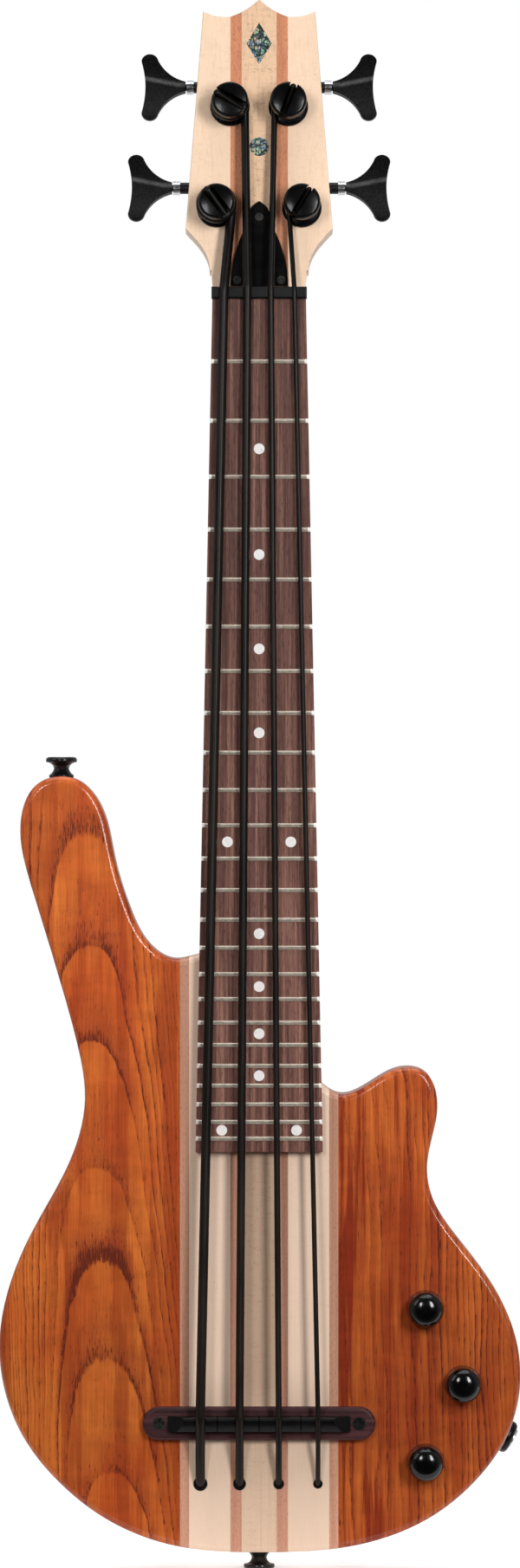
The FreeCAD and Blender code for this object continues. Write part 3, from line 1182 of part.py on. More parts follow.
# ---- truss rod
rod_axis_at = Vec(0, ROD_AXIS_DEPTH, ROD_FOOT_Z + 0.3)
rod = Part.makeCylinder(ROD_RADIUS, -ROD_FOOT_Z + NUT_LENGTH - 0.5, rod_axis_at, UP)
rod_thread = Part.makeCylinder(ROD_THREAD_RADIUS, -ROD_FOOT_Z + ROD_NUT_START + ROD_NUT_LENGTH - 2.0,
                               rod_axis_at, UP)
save("truss_rod", rod.fuse(rod_thread))
rod_nut = turned((ROD_THREAD_RADIUS + ROD_NUT_CLEARANCE, 0), [
    (ROD_NUT_RADIUS, 0), (ROD_NUT_RADIUS, ROD_NUT_LENGTH),
    (ROD_THREAD_RADIUS + ROD_NUT_CLEARANCE, ROD_NUT_LENGTH),
], Vec(0, ROD_AXIS_DEPTH, ROD_NUT_START), UP)
slot_cut = box((-ROD_NUT_RADIUS - 1, ROD_NUT_RADIUS + 1), (ROD_AXIS_DEPTH - 0.6, ROD_AXIS_DEPTH + 0.6),
               (ROD_NUT_START + ROD_NUT_LENGTH - 1.2, ROD_NUT_START + ROD_NUT_LENGTH + 1))
save("truss_rod_nut", rod_nut.cut(slot_cut))
save("truss_rod_cover", truss_rod_cover())

# ---- bridge and strings
save("bridge_base", bridge_base())
save("bridge_saddles", saddle_blocks())
save("pickup_elements", pickup_elements())
save("string_ferrules", string_ferrules())
for string_name in STRING_NAMES:
    save("string_" + string_name, string_with_knot(string_name))

# ---- tuning machines
save("tuner_housings", [on_post(tuner_housing(), name, True) for name in STRING_NAMES])
save("tuner_bushings", [on_post(tuner_bushing(), name, False) for name in STRING_NAMES])
save("tuner_key_washers", [on_post(ring, name, True) for name in STRING_NAMES for ring in key_washers()])
for string_name in STRING_NAMES:
    save("tuner_key_" + string_name, on_post(tuner_key(), string_name, True))
    save("tuner_worm_" + string_name, on_post(worm(), string_name, False))
    save("tuner_post_" + string_name, on_post(tuner_post(string_name), string_name, False))
    save("tuner_gear_" + string_name, on_post(worm_gear(), string_name, False))
    save("string_wrap_" + string_name, on_post(string_wrap(string_name), string_name, False))

# ---- controls
for knob_name in KNOB_PLACES:
    save("knob_" + knob_name, knob(knob_name))
    save("pot_shaft_" + knob_name, pot_shaft(knob_name))
save("pot_cases", [pot_case(name) for name in KNOB_PLACES])
save("pot_nuts", [pot_nut(name) for name in KNOB_PLACES])
save("control_cover", control_cover())
save("preamp_board", preamp_board())
save("battery", battery())
save("jack_barrel", jack_barrel())
save("jack_nut", jack_nut())

# ---- strap buttons and all screws
save("strap_buttons", [strap_button(origin, axis) for origin, axis in BUTTONS])
save("screws", bridge_screws(screw) + [button_screw(origin, axis, screw) for origin, axis in BUTTONS]
     + housing_screws + cover_screws(screw) + control_cover_screws(screw))
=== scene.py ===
"""Looks of a four-string bass ukulele with a laminated neck-through body.

Every piece of the instrument is a fixed solid of the frame, so this script dresses those solids: each
sub-assembly is a class that knows its own solids and gives them their finishes, and each finish is a
small class that builds one procedural material. Lengths inside the finishes are millimetres.
"""

import logging
import math
from dataclasses import dataclass, field
from enum import Enum
from typing import Optional, Sequence, Union

import bpy
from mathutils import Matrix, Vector


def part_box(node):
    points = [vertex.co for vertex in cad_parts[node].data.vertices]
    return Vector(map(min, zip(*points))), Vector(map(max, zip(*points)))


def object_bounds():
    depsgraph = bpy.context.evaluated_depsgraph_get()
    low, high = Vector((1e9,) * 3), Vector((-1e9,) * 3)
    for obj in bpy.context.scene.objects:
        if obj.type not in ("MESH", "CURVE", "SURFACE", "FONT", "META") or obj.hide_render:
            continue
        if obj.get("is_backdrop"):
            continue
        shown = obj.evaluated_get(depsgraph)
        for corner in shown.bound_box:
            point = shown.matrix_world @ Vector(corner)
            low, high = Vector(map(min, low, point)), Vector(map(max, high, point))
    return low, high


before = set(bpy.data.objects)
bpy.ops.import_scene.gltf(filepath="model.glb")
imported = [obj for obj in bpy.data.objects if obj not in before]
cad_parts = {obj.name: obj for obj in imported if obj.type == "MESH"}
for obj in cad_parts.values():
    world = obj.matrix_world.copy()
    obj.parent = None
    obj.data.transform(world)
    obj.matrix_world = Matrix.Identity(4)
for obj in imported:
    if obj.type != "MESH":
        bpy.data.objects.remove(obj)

LOG = logging.getLogger("bass_ukulele")
MILLIMETRES = 1000.0
STRING_NAMES = ("e", "a", "d", "g")
KNOB_NAMES = ("volume", "bass", "treble")

# The display curve that colours are written in.
FULL_CHANNEL = 255.0
CURVE_KNEE = 0.04045
CURVE_SLOPE = 12.92
CURVE_OFFSET = 0.055
CURVE_POWER = 2.4
WHITE = (1.0, 1.0, 1.0, 1.0)

# The lacquer on the neck's woods.
SATIN = {"Coat_Weight": 0.3, "Coat_Roughness": 0.08, "Specular_IOR_Level": 0.2}

# Most of a noise lies between these two.
NOISE_LOW = 0.3
NOISE_HIGH = 0.7

# Heights in millimetres between which a finish changes from one look to the next.
TAIL_TO_BODY = (-525.0, -500.0)
LOWER_TO_UPPER_BODY = (-500.0, -470.0)
# The wings' painted shade at the foot turns to painted light at the shoulder between these heights.
WING_PAINTED_SHADE_TO_LIGHT = (-560.0, -330.0)
BOARD_END_TO_NUT = (-390.0, -20.0)
NECK_TO_HEAD = (-40.0, 20.0)
ACROSS_NUT = (-20.0, 20.0)

# How far a black part's roughness strays below and above its own figure.
SMOOTHER = 0.04
ROUGHER = 0.08

# Where in a cloudy noise a surface is worn, and how strongly: low, high, least, most.
RUBBED = (0.35, 0.75, 0.0, 0.7)
TARNISHED = (0.4, 0.7, 0.0, 0.5)

Colour = tuple[float, float, float]
Triple = tuple[float, float, float]
Socket = bpy.types.NodeSocket
Material = bpy.types.Material
Number = Union[float, Socket]
Stop = tuple[float, Colour]


def linear(colour: Colour) -> tuple[float, float, float, float]:
    """Turn a display colour into the shader's linear colour.

    Args:
        colour: red, green and blue from 0 to 255.

    Returns:
        The same colour as linear red, green, blue and a full alpha.
    """
    parts = []
    for channel in colour:
        share = channel / FULL_CHANNEL
        if share <= CURVE_KNEE:
            parts.append(share / CURVE_SLOPE)
        else:
            parts.append(((share + CURVE_OFFSET) / (1.0 + CURVE_OFFSET)) ** CURVE_POWER)
    return (parts[0], parts[1], parts[2], 1.0)


class Blend(Enum):
    """Ways that one colour is laid over another."""

    MIX = "MIX"
    MULTIPLY = "MULTIPLY"


class Cells(Enum):
    """What a cell pattern gives: its cells, or how far their edges are."""

    FILLED = "F1"
    EDGES = "DISTANCE_TO_EDGE"


class Grain(Enum):
    """The axis that a wood's grain runs along."""

    ALONG_X = "x"
    ALONG_Z = "z"


class Graph:
    """One material's shader and the nodes that feed it."""

    def __init__(self, name: str) -> None:
        """Start an empty material with a principled shader.

        Args:
            name: the material's name.
        """
        self.material = bpy.data.materials.new(name)
        self.material.use_nodes = True
        self.tree = self.material.node_tree
        self.tree.nodes.clear()
        output = self.tree.nodes.new("ShaderNodeOutputMaterial")
        self.shader = self.tree.nodes.new("ShaderNodeBsdfPrincipled")
        self.tree.links.new(self.shader.outputs["BSDF"], output.inputs["Surface"])

    def feed(self, socket: Socket, value: Union[Number, Sequence[float]]) -> None:
        """Link a socket to another, or set it to a plain value.

        Args:
            socket: the input to fill.
            value: an output socket, a number or a list of numbers.
        """
        if isinstance(value, Socket):
            self.tree.links.new(value, socket)
        else:
            socket.default_value = value

    def place(self) -> Socket:
        """Position on the instrument.

        Returns:
            The position in millimetres.
        """
        coordinates = self.tree.nodes.new("ShaderNodeTexCoord")
        return self.vector("SCALE", coordinates.outputs["Object"], scale=MILLIMETRES)

    def vector(self, operation: str, first: Union[Number, Sequence[float]],
               second: Optional[Union[Number, Sequence[float]]] = None,
               scale: Optional[float] = None) -> Socket:
        """Do vector arithmetic.

        Args:
            operation: the vector node's operation.
            first: the first vector.
            second: the second vector, where the operation takes one.
            scale: the factor for SCALE.

        Returns:
            The result's socket.
        """
        node = self.tree.nodes.new("ShaderNodeVectorMath")
        node.operation = operation
        self.feed(node.inputs[0], first)
        if second is not None:
            self.feed(node.inputs[1], second)
        if scale is not None:
            node.inputs["Scale"].default_value = scale
        return node.outputs["Value"] if operation == "LENGTH" else node.outputs[0]

    def split(self, source: Socket) -> tuple[Socket, ...]:
        """The x, y and z parts of a vector.

        Args:
            source: the vector.

        Returns:
            Its three parts.
        """
        node = self.tree.nodes.new("ShaderNodeSeparateXYZ")
        self.feed(node.inputs[0], source)
        return tuple(node.outputs)

    def join(self, x: Number, y: Number, z: Number) -> Socket:
        """A vector made of three parts.

        Args:
            x: the first part.
            y: the second part.
            z: the third part.

        Returns:
            The vector.
        """
        node = self.tree.nodes.new("ShaderNodeCombineXYZ")
        for socket, value in zip(node.inputs, (x, y, z)):
            self.feed(socket, value)
        return node.outputs[0]

    def math(self, operation: str, first: Number, second: Optional[Number] = None,
             third: Optional[Number] = None) -> Socket:
        """Do arithmetic on numbers.

        Args:
            operation: the math node's operation.
            first: the first number.
            second: the second number, where the operation takes one.
            third: the third number, where the operation takes one.

        Returns:
            The result.
        """
        node = self.tree.nodes.new("ShaderNodeMath")
        node.operation = operation
        for socket, value in zip(node.inputs, (first, second, third)):
            if value is not None:
                self.feed(socket, value)
        return node.outputs[0]

    def span(self, value: Number, low: float, high: float, to_low: float = 0.0,
             to_high: float = 1.0, smooth: bool = True) -> Socket:
        """Carry a range of numbers onto another, held at its ends.

        Args:
            value: the number.
            low: where the range starts.
            high: where it ends.
            to_low: the result at low.
            to_high: the result at high.
            smooth: ease in and out.

        Returns:
            The result.
        """
        node = self.tree.nodes.new("ShaderNodeMapRange")
        node.interpolation_type = "SMOOTHSTEP" if smooth else "LINEAR"
        self.feed(node.inputs["Value"], value)
        ends = {"From Min": low, "From Max": high, "To Min": to_low, "To Max": to_high}
        for name, number in ends.items():
            node.inputs[name].default_value = number
        return node.outputs["Result"]

    def spread(self, noise: Socket, to_low: float, to_high: float) -> Socket:
        """Carry most of a noise onto a range.

        Args:
            noise: the noise.
            to_low: the result where the noise is low.
            to_high: the result where it is high.

        Returns:
            The result.
        """
        return self.span(noise, NOISE_LOW, NOISE_HIGH, to_low, to_high)

    def noise(self, where: Socket, per_mm: Triple, detail: float = 3.0, roughness: float = 0.6,
              distortion: float = 0.0, shift: Triple = (0.0, 0.0, 0.0)) -> Socket:
        """Noise stretched along the axes.

        Args:
            where: the position in millimetres.
            per_mm: features to a millimetre along x, y and z.
            detail: octaves of finer noise.
            roughness: how strong the finer octaves are.
            distortion: how much the noise is stirred.
            shift: an offset that gives another piece of the same noise.

        Returns:
            The noise, about 0.5 on average.
        """
        stretched = self.tree.nodes.new("ShaderNodeVectorMath")
        stretched.operation = "MULTIPLY_ADD"
        self.feed(stretched.inputs[0], where)
        stretched.inputs[1].default_value = per_mm
        stretched.inputs[2].default_value = shift
        node = self.tree.nodes.new("ShaderNodeTexNoise")
        self.feed(node.inputs["Vector"], stretched.outputs[0])
        node.inputs["Scale"].default_value = 1.0
        node.inputs["Detail"].default_value = detail
        node.inputs["Roughness"].default_value = roughness
        node.inputs["Distortion"].default_value = distortion
        return node.outputs[0]

    def cells(self, where: Socket, per_mm: Triple, feature: Cells) -> bpy.types.Node:
        """A cell pattern.

        Args:
            where: the position in millimetres.
            per_mm: cells to a millimetre along x, y and z.
            feature: what the pattern gives.

        Returns:
            The cell node, for its distance and colour.
        """
        stretched = self.vector("MULTIPLY", where, per_mm)
        node = self.tree.nodes.new("ShaderNodeTexVoronoi")
        node.feature = feature.value
        self.feed(node.inputs["Vector"], stretched)
        node.inputs["Scale"].default_value = 1.0
        return node

    def ramp(self, factor: Number, stops: Sequence[Stop]) -> Socket:
        """A run of colours.

        Args:
            factor: where along the run.
            stops: places from 0 to 1 with their display colours.

        Returns:
            The colour.
        """
        node = self.tree.nodes.new("ShaderNodeValToRGB")
        run = node.color_ramp
        while len(run.elements) < len(stops):
            run.elements.new(1.0)
        for element, (position, colour) in zip(run.elements, stops):
            element.position = position
            element.color = linear(colour)
        self.feed(node.inputs["Fac"], factor)
        return node.outputs["Color"]

    def mix(self, factor: Number, first: Union[Number, Colour], second: Union[Number, Colour],
            blend: Blend = Blend.MIX) -> Socket:
        """Lay one colour over another.

        Args:
            factor: how much of the second shows.
            first: the colour underneath, a socket or a display colour.
            second: the colour on top, a socket or a display colour.
            blend: how it is laid over.

        Returns:
            The colour.
        """
        node = self.tree.nodes.new("ShaderNodeMix")
        node.data_type = "RGBA"
        node.blend_type = blend.value
        self.feed(node.inputs[0], factor)
        for socket, value in ((node.inputs[6], first), (node.inputs[7], second)):
            self.feed(socket, linear(value) if isinstance(value, tuple) else value)
        return node.outputs[2]

    def grey(self, value: Number) -> Socket:
        """A number as a grey colour.

        Args:
            value: the number.

        Returns:
            The colour.
        """
        node = self.tree.nodes.new("ShaderNodeCombineColor")
        for socket in node.inputs:
            self.feed(socket, value)
        return node.outputs[0]

    def tint(self, ground: Socket, factor: Number) -> Socket:
        """Make a colour lighter or darker.

        Args:
            ground: the colour.
            factor: what each of its channels is multiplied by.

        Returns:
            The colour.
        """
        return self.mix(1.0, ground, self.grey(factor), Blend.MULTIPLY)

    def bump(self, height: Socket, depth: float, strength: float) -> None:
        """Give the surface relief.

        Args:
            height: the relief, 0 to 1.
            depth: how deep it is, in millimetres.
            strength: how strongly it shows.
        """
        node = self.tree.nodes.new("ShaderNodeBump")
        node.inputs["Strength"].default_value = strength
        node.inputs["Distance"].default_value = depth / MILLIMETRES
        self.feed(node.inputs["Height"], height)
        self.feed(self.shader.inputs["Normal"], node.outputs["Normal"])

    def surface(self, **settings: Union[Number, Sequence[float]]) -> None:
        """Set the shader's sockets.

        Args:
            **settings: values or sockets by socket name, with underscores for spaces.
        """
        for name, value in settings.items():
            self.feed(self.shader.inputs[name.replace("_", " ")], value)


# -------------------- finishes: woods
@dataclass(frozen=True)
class RingWood:
    """Ring-porous wood under an orange lacquer: arches along its heart line and close lines beside it.

    Attributes:
        light, warm, red, dark: palest lacquer, most of the ground, rings and flames, open pores.
        heart_x: where the arches' heart line is at reference_z.
        heart_lean: how far it moves across for each millimetre up.
        arch_spacing: the height from one arch to the next.
        arch_start: where in its ring reference_z is.
        steepness: how much the arches' sides climb.
        steepening: the power by which they climb away from the heart line.
        tip_round: how round the arches' tips are.
        waver: how far the lines stray sideways.
        shade_from, shade_to: the x at which the wood starts to redden, and is fully reddened.
        shade: how red it gets there.
        flame: how strong the flames are.
        flame_pitch: flames to a millimetre.
        flame_outer: the share of their strength outside the reddened side.
        plain: how much weaker the lines are within it.
        shade_low, shade_high: brightness factors at the wing's foot and shoulder, painted shade low down
            and painted light up high.
        pale_flame: strength of the pale streaks, as a share of the flames'.
        unevenness, feather: how many rings the spacing and the lines' edges stray by.
        ripple: the share of the sideways straying that is fine.
    """

    name: str
    light: Colour
    warm: Colour
    red: Colour
    dark: Colour
    heart_x: float
    heart_lean: float
    arch_spacing: float
    arch_start: float
    steepness: float
    steepening: float
    tip_round: float
    waver: float
    shade_from: float
    shade_to: float
    shade: float
    flame: float
    flame_pitch: float
    flame_outer: float
    plain: float
    reference_z: float = -508.0
    shade_low: float = 0.76
    shade_high: float = 1.12
    pale_flame: float = 0.6
    ring_band: float = 0.85
    ring_line: float = 0.3
    pores: float = 0.78
    unevenness: float = 1.3
    feather: float = 0.11
    ripple: float = 0.25

    def build(self) -> Material:
        """Make the material.

        Returns:
            The material.
        """
        graph = Graph(self.name)
        where = graph.place()
        ring, number = self.rings(graph, where)
        vigour = graph.noise(graph.join(number, 0.0, 0.0), (0.73, 1.0, 1.0), detail=1.0, roughness=0.5)
        vigour = graph.span(vigour, 0.36, 0.64, 0.5, 0.95)
        worn = graph.noise(where, (0.05, 0.05, 0.016), shift=(2, 9, 4))
        worn = graph.span(worn, 0.32, 0.6, 0.45, 1.0)
        inner = graph.span(graph.split(where)[0], self.shade_from, self.shade_to)
        strength = graph.math("MULTIPLY", vigour, worn)
        strength = graph.math("MULTIPLY", strength, graph.math("MULTIPLY_ADD", inner, -self.plain, 1.0))
        onset = graph.span(ring, 0.0, 0.05)
        band = graph.math("MULTIPLY", onset, graph.span(ring, 0.05, 0.85, 1.0, 0.0))
        line = graph.math("MULTIPLY", onset, graph.span(ring, 0.05, 0.26, 1.0, 0.0))
        band = graph.math("MULTIPLY", band, strength)
        line = graph.math("MULTIPLY", line, strength)

        patch = graph.noise(where, (0.021, 0.021, 0.012), roughness=0.55, shift=(5, 1, 8))
        patch = graph.span(patch, 0.36, 0.66)
        ground = graph.mix(patch, self.light, self.warm)
        ground = graph.mix(graph.math("MULTIPLY", inner, self.shade), ground, self.red)
        streak = graph.noise(where, (self.flame_pitch, self.flame_pitch, 0.0055), detail=4.0,
                             roughness=0.62, shift=(4, 8, 2))
        pale = graph.span(streak, 0.5, 0.36, 0.0, self.flame * self.pale_flame)
        ground = graph.mix(pale, ground, self.light)
        flame = graph.math("MULTIPLY", graph.span(streak, 0.49, 0.575, 0.0, self.flame),
                           graph.math("MULTIPLY_ADD", inner, 1.0 - self.flame_outer, self.flame_outer))
        ground = graph.mix(flame, ground, self.red)
        ground = graph.mix(graph.math("MULTIPLY", band, self.ring_band), ground, self.red)
        fibre = graph.noise(where, (1.5, 1.5, 0.03), detail=4.0, roughness=0.68)
        ground = graph.tint(ground, graph.span(fibre, 0.28, 0.72, 0.72, 1.22, smooth=False))
        curl = graph.noise(where, (0.05, 0.05, 0.11), roughness=0.55, distortion=0.8, shift=(1, 4, 6))
        ground = graph.tint(ground, graph.spread(curl, 0.91, 1.07))
        dashes = graph.noise(where, (1.9, 1.9, 0.2), shift=(3, 3, 3))
        wide = graph.math("MULTIPLY_ADD", line, -0.17, graph.math("MULTIPLY_ADD", band, -0.12, 0.66))
        pore = graph.span(graph.math("SUBTRACT", dashes, wide), -0.02, 0.05)
        ground = graph.mix(graph.math("MULTIPLY", line, self.ring_line), ground, self.dark)
        ground = graph.mix(graph.math("MULTIPLY", pore, self.pores), ground, self.dark)
        # Painted light and shade: the wood is darkened towards the wing's foot and lightened towards its
        # shoulder, for how the light falls on the body.
        slope = graph.span(graph.split(where)[2], *WING_PAINTED_SHADE_TO_LIGHT, self.shade_low, self.shade_high)
        ground = graph.tint(ground, slope)

        graph.surface(Base_Color=ground, Roughness=graph.span(band, 0.0, 1.0, 0.28, 0.38),
                      Coat_Weight=0.35, Coat_Roughness=0.05, Specular_IOR_Level=0.15)
        relief = graph.math("SUBTRACT", graph.math("MULTIPLY", fibre, 0.35),
                            graph.math("MULTIPLY", pore, 0.8))
        graph.bump(relief, depth=0.012, strength=0.5)
        return graph.material

    def rings(self, graph: Graph, where: Socket) -> tuple[Socket, ...]:
        """Where a point stands in its growth ring, and which ring that is.

        Args:
            graph: the material being made.
            where: the position in millimetres.

        Returns:
            The place within the ring, 0 where its open pores begin, and the ring's number.
        """
        x, y, z = graph.split(where)
        height = graph.math("SUBTRACT", z, self.reference_z)
        sweep = graph.noise(where, (0.017, 0.017, 0.008), detail=2.0, roughness=0.5)
        sweep = graph.math("SUBTRACT", sweep, 0.5)
        ripple = graph.noise(where, (0.14, 0.14, 0.03), shift=(7, 3, 1))
        ripple = graph.math("SUBTRACT", ripple, 0.5)
        feather = graph.noise(where, (0.9, 0.9, 0.14), detail=2.0, shift=(9, 2, 5))
        feather = graph.math("SUBTRACT", feather, 0.5)
        heart = graph.math("MULTIPLY_ADD", height, self.heart_lean, self.heart_x)
        across = graph.math("SUBTRACT", x, heart)
        across = graph.math("MULTIPLY_ADD", sweep, self.waver, across)
        across = graph.math("MULTIPLY_ADD", ripple, self.waver * self.ripple, across)
        deep = graph.math("ADD", y, self.tip_round)
        reach = graph.vector("LENGTH", graph.join(across, deep, 0.0))
        climb = graph.math("MULTIPLY", graph.math("POWER", reach, self.steepening), self.steepness)
        phase = graph.math("DIVIDE", graph.math("ADD", height, climb), self.arch_spacing)
        uneven = graph.noise(graph.join(phase, 0.0, 0.0), (0.83, 1.0, 1.0), detail=2.0, roughness=0.5)
        phase = graph.math("ADD", phase, self.arch_start)
        phase = graph.math("MULTIPLY_ADD", uneven, self.unevenness, phase)
        phase = graph.math("MULTIPLY_ADD", feather, self.feather, phase)
        return graph.math("FRACT", phase), graph.math("FLOOR", phase)


@dataclass(frozen=True)
class Maple:
    """Pale close-grained wood, satin lacquered, warmer in the head than in the body, with painted shade in
    parts of its colour.
    """

    name: str
    tail: Colour
    body: Colour
    head: Colour
    line: Colour
    fleck_and_shade: Colour
    fleck_strength: float

    def build(self) -> Material:
        """Make the material.

        Returns:
            The material.
        """
        graph = Graph(self.name)
        where = graph.place()
        _, _, z = graph.split(where)
        # Painted shade, in part: the centre strip's colour above the bridge and in the head is darker for
        # the strings' shade on it, and the outer strips' tail colour is darker to hold back the floor's
        # glow; the rest is the wood's own tone.
        ground = graph.mix(graph.span(z, *TAIL_TO_BODY), self.tail, self.body)
        ground = graph.mix(graph.span(z, *NECK_TO_HEAD), ground, self.head)
        broad = graph.noise(where, (0.05, 0.05, 0.006), detail=2.0, roughness=0.5)
        ground = graph.tint(ground, graph.spread(broad, 0.95, 1.03))
        streak = graph.noise(where, (0.8, 0.8, 0.008), detail=4.0, roughness=0.62)
        ground = graph.mix(graph.span(streak, 0.47, 0.78, 0.0, 0.5), ground, self.line)
        curl = graph.noise(where, (0.16, 0.16, 0.5), distortion=0.5, shift=(4, 2, 9))
        speck = graph.noise(where, (0.7, 0.7, 1.6), roughness=0.7, shift=(8, 5, 2))
        mottle = graph.math("MULTIPLY", graph.span(curl, 0.42, 0.72), graph.span(speck, 0.45, 0.68))
        # The flecks are the maple's own figure, made stronger above the bridge partly as painted shade of
        # the strings.
        shade_above_bridge = graph.span(z, *LOWER_TO_UPPER_BODY, 0.55, 1.0)
        mottle = graph.math("MULTIPLY", graph.math("MULTIPLY", mottle, shade_above_bridge), self.fleck_strength)
        ground = graph.mix(mottle, ground, self.fleck_and_shade)
        fibre = graph.noise(where, (3.6, 3.6, 0.09))
        ground = graph.tint(ground, graph.spread(fibre, 0.965, 1.02))
        graph.surface(Base_Color=ground, Roughness=graph.span(streak, 0.3, 0.8, 0.3, 0.4), **SATIN)
        graph.bump(fibre, depth=0.02, strength=0.5)
        return graph.material


@dataclass(frozen=True)
class PoredStripe:
    """Reddish-brown stripe wood with open pores, browner in the body than in the head."""

    name: str
    body: Colour
    head: Colour
    pore: Colour

    def build(self) -> Material:
        """Make the material.

        Returns:
            The material.
        """
        graph = Graph(self.name)
        where = graph.place()
        _, _, z = graph.split(where)
        ground = graph.mix(graph.span(z, *NECK_TO_HEAD), self.body, self.head)
        band = graph.noise(where, (0.42, 0.42, 0.01))
        ground = graph.tint(ground, graph.spread(band, 0.86, 1.08))
        dashes = graph.noise(where, (2.3, 2.3, 0.5), roughness=0.65)
        pore = graph.span(dashes, 0.5, 0.66)
        ground = graph.mix(graph.math("MULTIPLY", pore, 0.55), ground, self.pore)
        graph.surface(Base_Color=ground, Roughness=graph.spread(dashes, 0.3, 0.42), **SATIN)
        graph.bump(graph.math("SUBTRACT", 1.0, pore), depth=0.04, strength=0.5)
        return graph.material


@dataclass(frozen=True)
class Rosewood:
    """Dark oily wood with reddish streaks and short open pores."""

    name: str
    dark: Colour
    middle: Colour
    light: Colour
    grain: Grain = Grain.ALONG_Z
    roughness: float = 0.46
    shade_high: float = 1.0
    shade_low: float = 1.0

    def build(self) -> Material:
        """Make the material.

        Returns:
            The material.
        """
        graph = Graph(self.name)
        where = graph.place()
        x, y, z = graph.split(where)
        slope = graph.span(z, *BOARD_END_TO_NUT, self.shade_low, self.shade_high)
        if self.grain is Grain.ALONG_X:
            where = graph.join(z, y, x)
        streak = graph.noise(where, (0.55, 0.55, 0.011), detail=4.0, roughness=0.62, distortion=0.25)
        ground = graph.ramp(streak, [(0.28, self.dark), (0.5, self.middle), (0.72, self.light)])
        line = graph.noise(where, (2.6, 2.6, 0.02), shift=(6, 2, 3))
        ground = graph.tint(ground, graph.spread(line, 0.82, 1.14))
        dashes = graph.noise(where, (3.4, 3.4, 0.3), detail=2.0, roughness=0.5, shift=(1, 7, 5))
        pore = graph.span(dashes, 0.56, 0.66)
        ground = graph.mix(graph.math("MULTIPLY", pore, 0.6), ground, self.dark)
        ground = graph.tint(ground, slope)
        graph.surface(Base_Color=ground, Roughness=graph.spread(line, self.roughness, self.roughness + 0.1),
                      Specular_IOR_Level=0.18)
        relief = graph.math("SUBTRACT", graph.math("MULTIPLY", line, 0.3), pore)
        graph.bump(relief, depth=0.06, strength=0.6)
        return graph.material


# -------------------- finishes: shell, plastic, metal
@dataclass(frozen=True)
class Pearl:
    """White shell with soft clouds of pink and green."""

    name: str
    shine: float = 0.16

    def build(self) -> Material:
        """Make the material.

        Returns:
            The material.
        """
        graph = Graph(self.name)
        where = graph.place()
        cloud = graph.noise(where, (0.45, 0.45, 0.3), distortion=1.2)
        ground = graph.ramp(cloud, [(0.3, (226, 230, 226)), (0.48, (252, 250, 246)), (0.6, (246, 234, 234)),
                                    (0.74, (254, 253, 250))])
        graph.surface(Base_Color=ground, Roughness=graph.spread(cloud, self.shine, self.shine + 0.12),
                      Coat_Weight=0.6, Coat_Roughness=0.08)
        graph.bump(cloud, depth=0.02, strength=0.3)
        return graph.material


@dataclass(frozen=True)
class Abalone:
    """Broken flakes of blue-green shell with dark lines between them."""

    name: str
    flake: float = 0.42
    longer: float = 0.7
    stirring: float = 2.4

    def build(self) -> Material:
        """Make the material.

        Returns:
            The material.
        """
        graph = Graph(self.name)
        where = graph.place()
        stir = graph.noise(where, (0.3, 0.3, 0.3), distortion=1.5)
        push = graph.vector("SCALE", graph.join(stir, 0.0, stir), scale=self.stirring)
        moved = graph.vector("ADD", where, push)
        size = (self.flake, self.flake, self.flake * self.longer)
        flakes = graph.cells(moved, size, Cells.FILLED)
        tone = graph.math("MULTIPLY_ADD", stir, 2.2, graph.split(flakes.outputs["Color"])[0])
        tone = graph.math("FRACT", tone)
        ground = graph.ramp(tone, [(0.0, (28, 62, 58)), (0.16, (96, 150, 128)), (0.32, (206, 222, 196)),
                                   (0.46, (84, 78, 118)), (0.62, (58, 132, 158)), (0.8, (232, 206, 176)),
                                   (0.92, (64, 104, 62)), (1.0, (24, 40, 44))])
        seams = graph.cells(moved, size, Cells.EDGES)
        edge = graph.span(seams.outputs["Distance"], 0.03, 0.14, 0.9, 0.0)
        ground = graph.mix(edge, ground, (22, 26, 26))
        graph.surface(Base_Color=ground, Roughness=graph.spread(stir, 0.14, 0.28),
                      Coat_Weight=0.7, Coat_Roughness=0.06)
        graph.bump(stir, depth=0.03, strength=0.3)
        return graph.material


@dataclass(frozen=True)
class BlackSurface:
    """Black moulded plastic or black-plated metal with fine grain and handling wear."""

    name: str
    colour: Colour
    rubbed: Colour
    roughness: float
    coat: float = 0.0
    coat_roughness: float = 0.1
    grain: float = 2.2
    relief: float = 0.02
    metallic: float = 0.0
    gloss: float = 0.25

    def build(self) -> Material:
        """Make the material.

        Returns:
            The material.
        """
        graph = Graph(self.name)
        where = graph.place()
        cloud = graph.noise(where, (0.09, 0.09, 0.09))
        fine = graph.noise(where, (self.grain,) * 3)
        ground = graph.mix(graph.span(cloud, *RUBBED), self.colour, self.rubbed)
        ground = graph.tint(ground, graph.spread(fine, 0.8, 1.25))
        scuff = graph.math("MULTIPLY", graph.math("ADD", cloud, fine), 0.5)
        graph.surface(Base_Color=ground,
                      Roughness=graph.spread(scuff, self.roughness - SMOOTHER, self.roughness + ROUGHER),
                      Coat_Weight=self.coat, Coat_Roughness=self.coat_roughness, Metallic=self.metallic,
                      Specular_IOR_Level=self.gloss)
        graph.bump(fine, depth=self.relief, strength=0.5)
        return graph.material


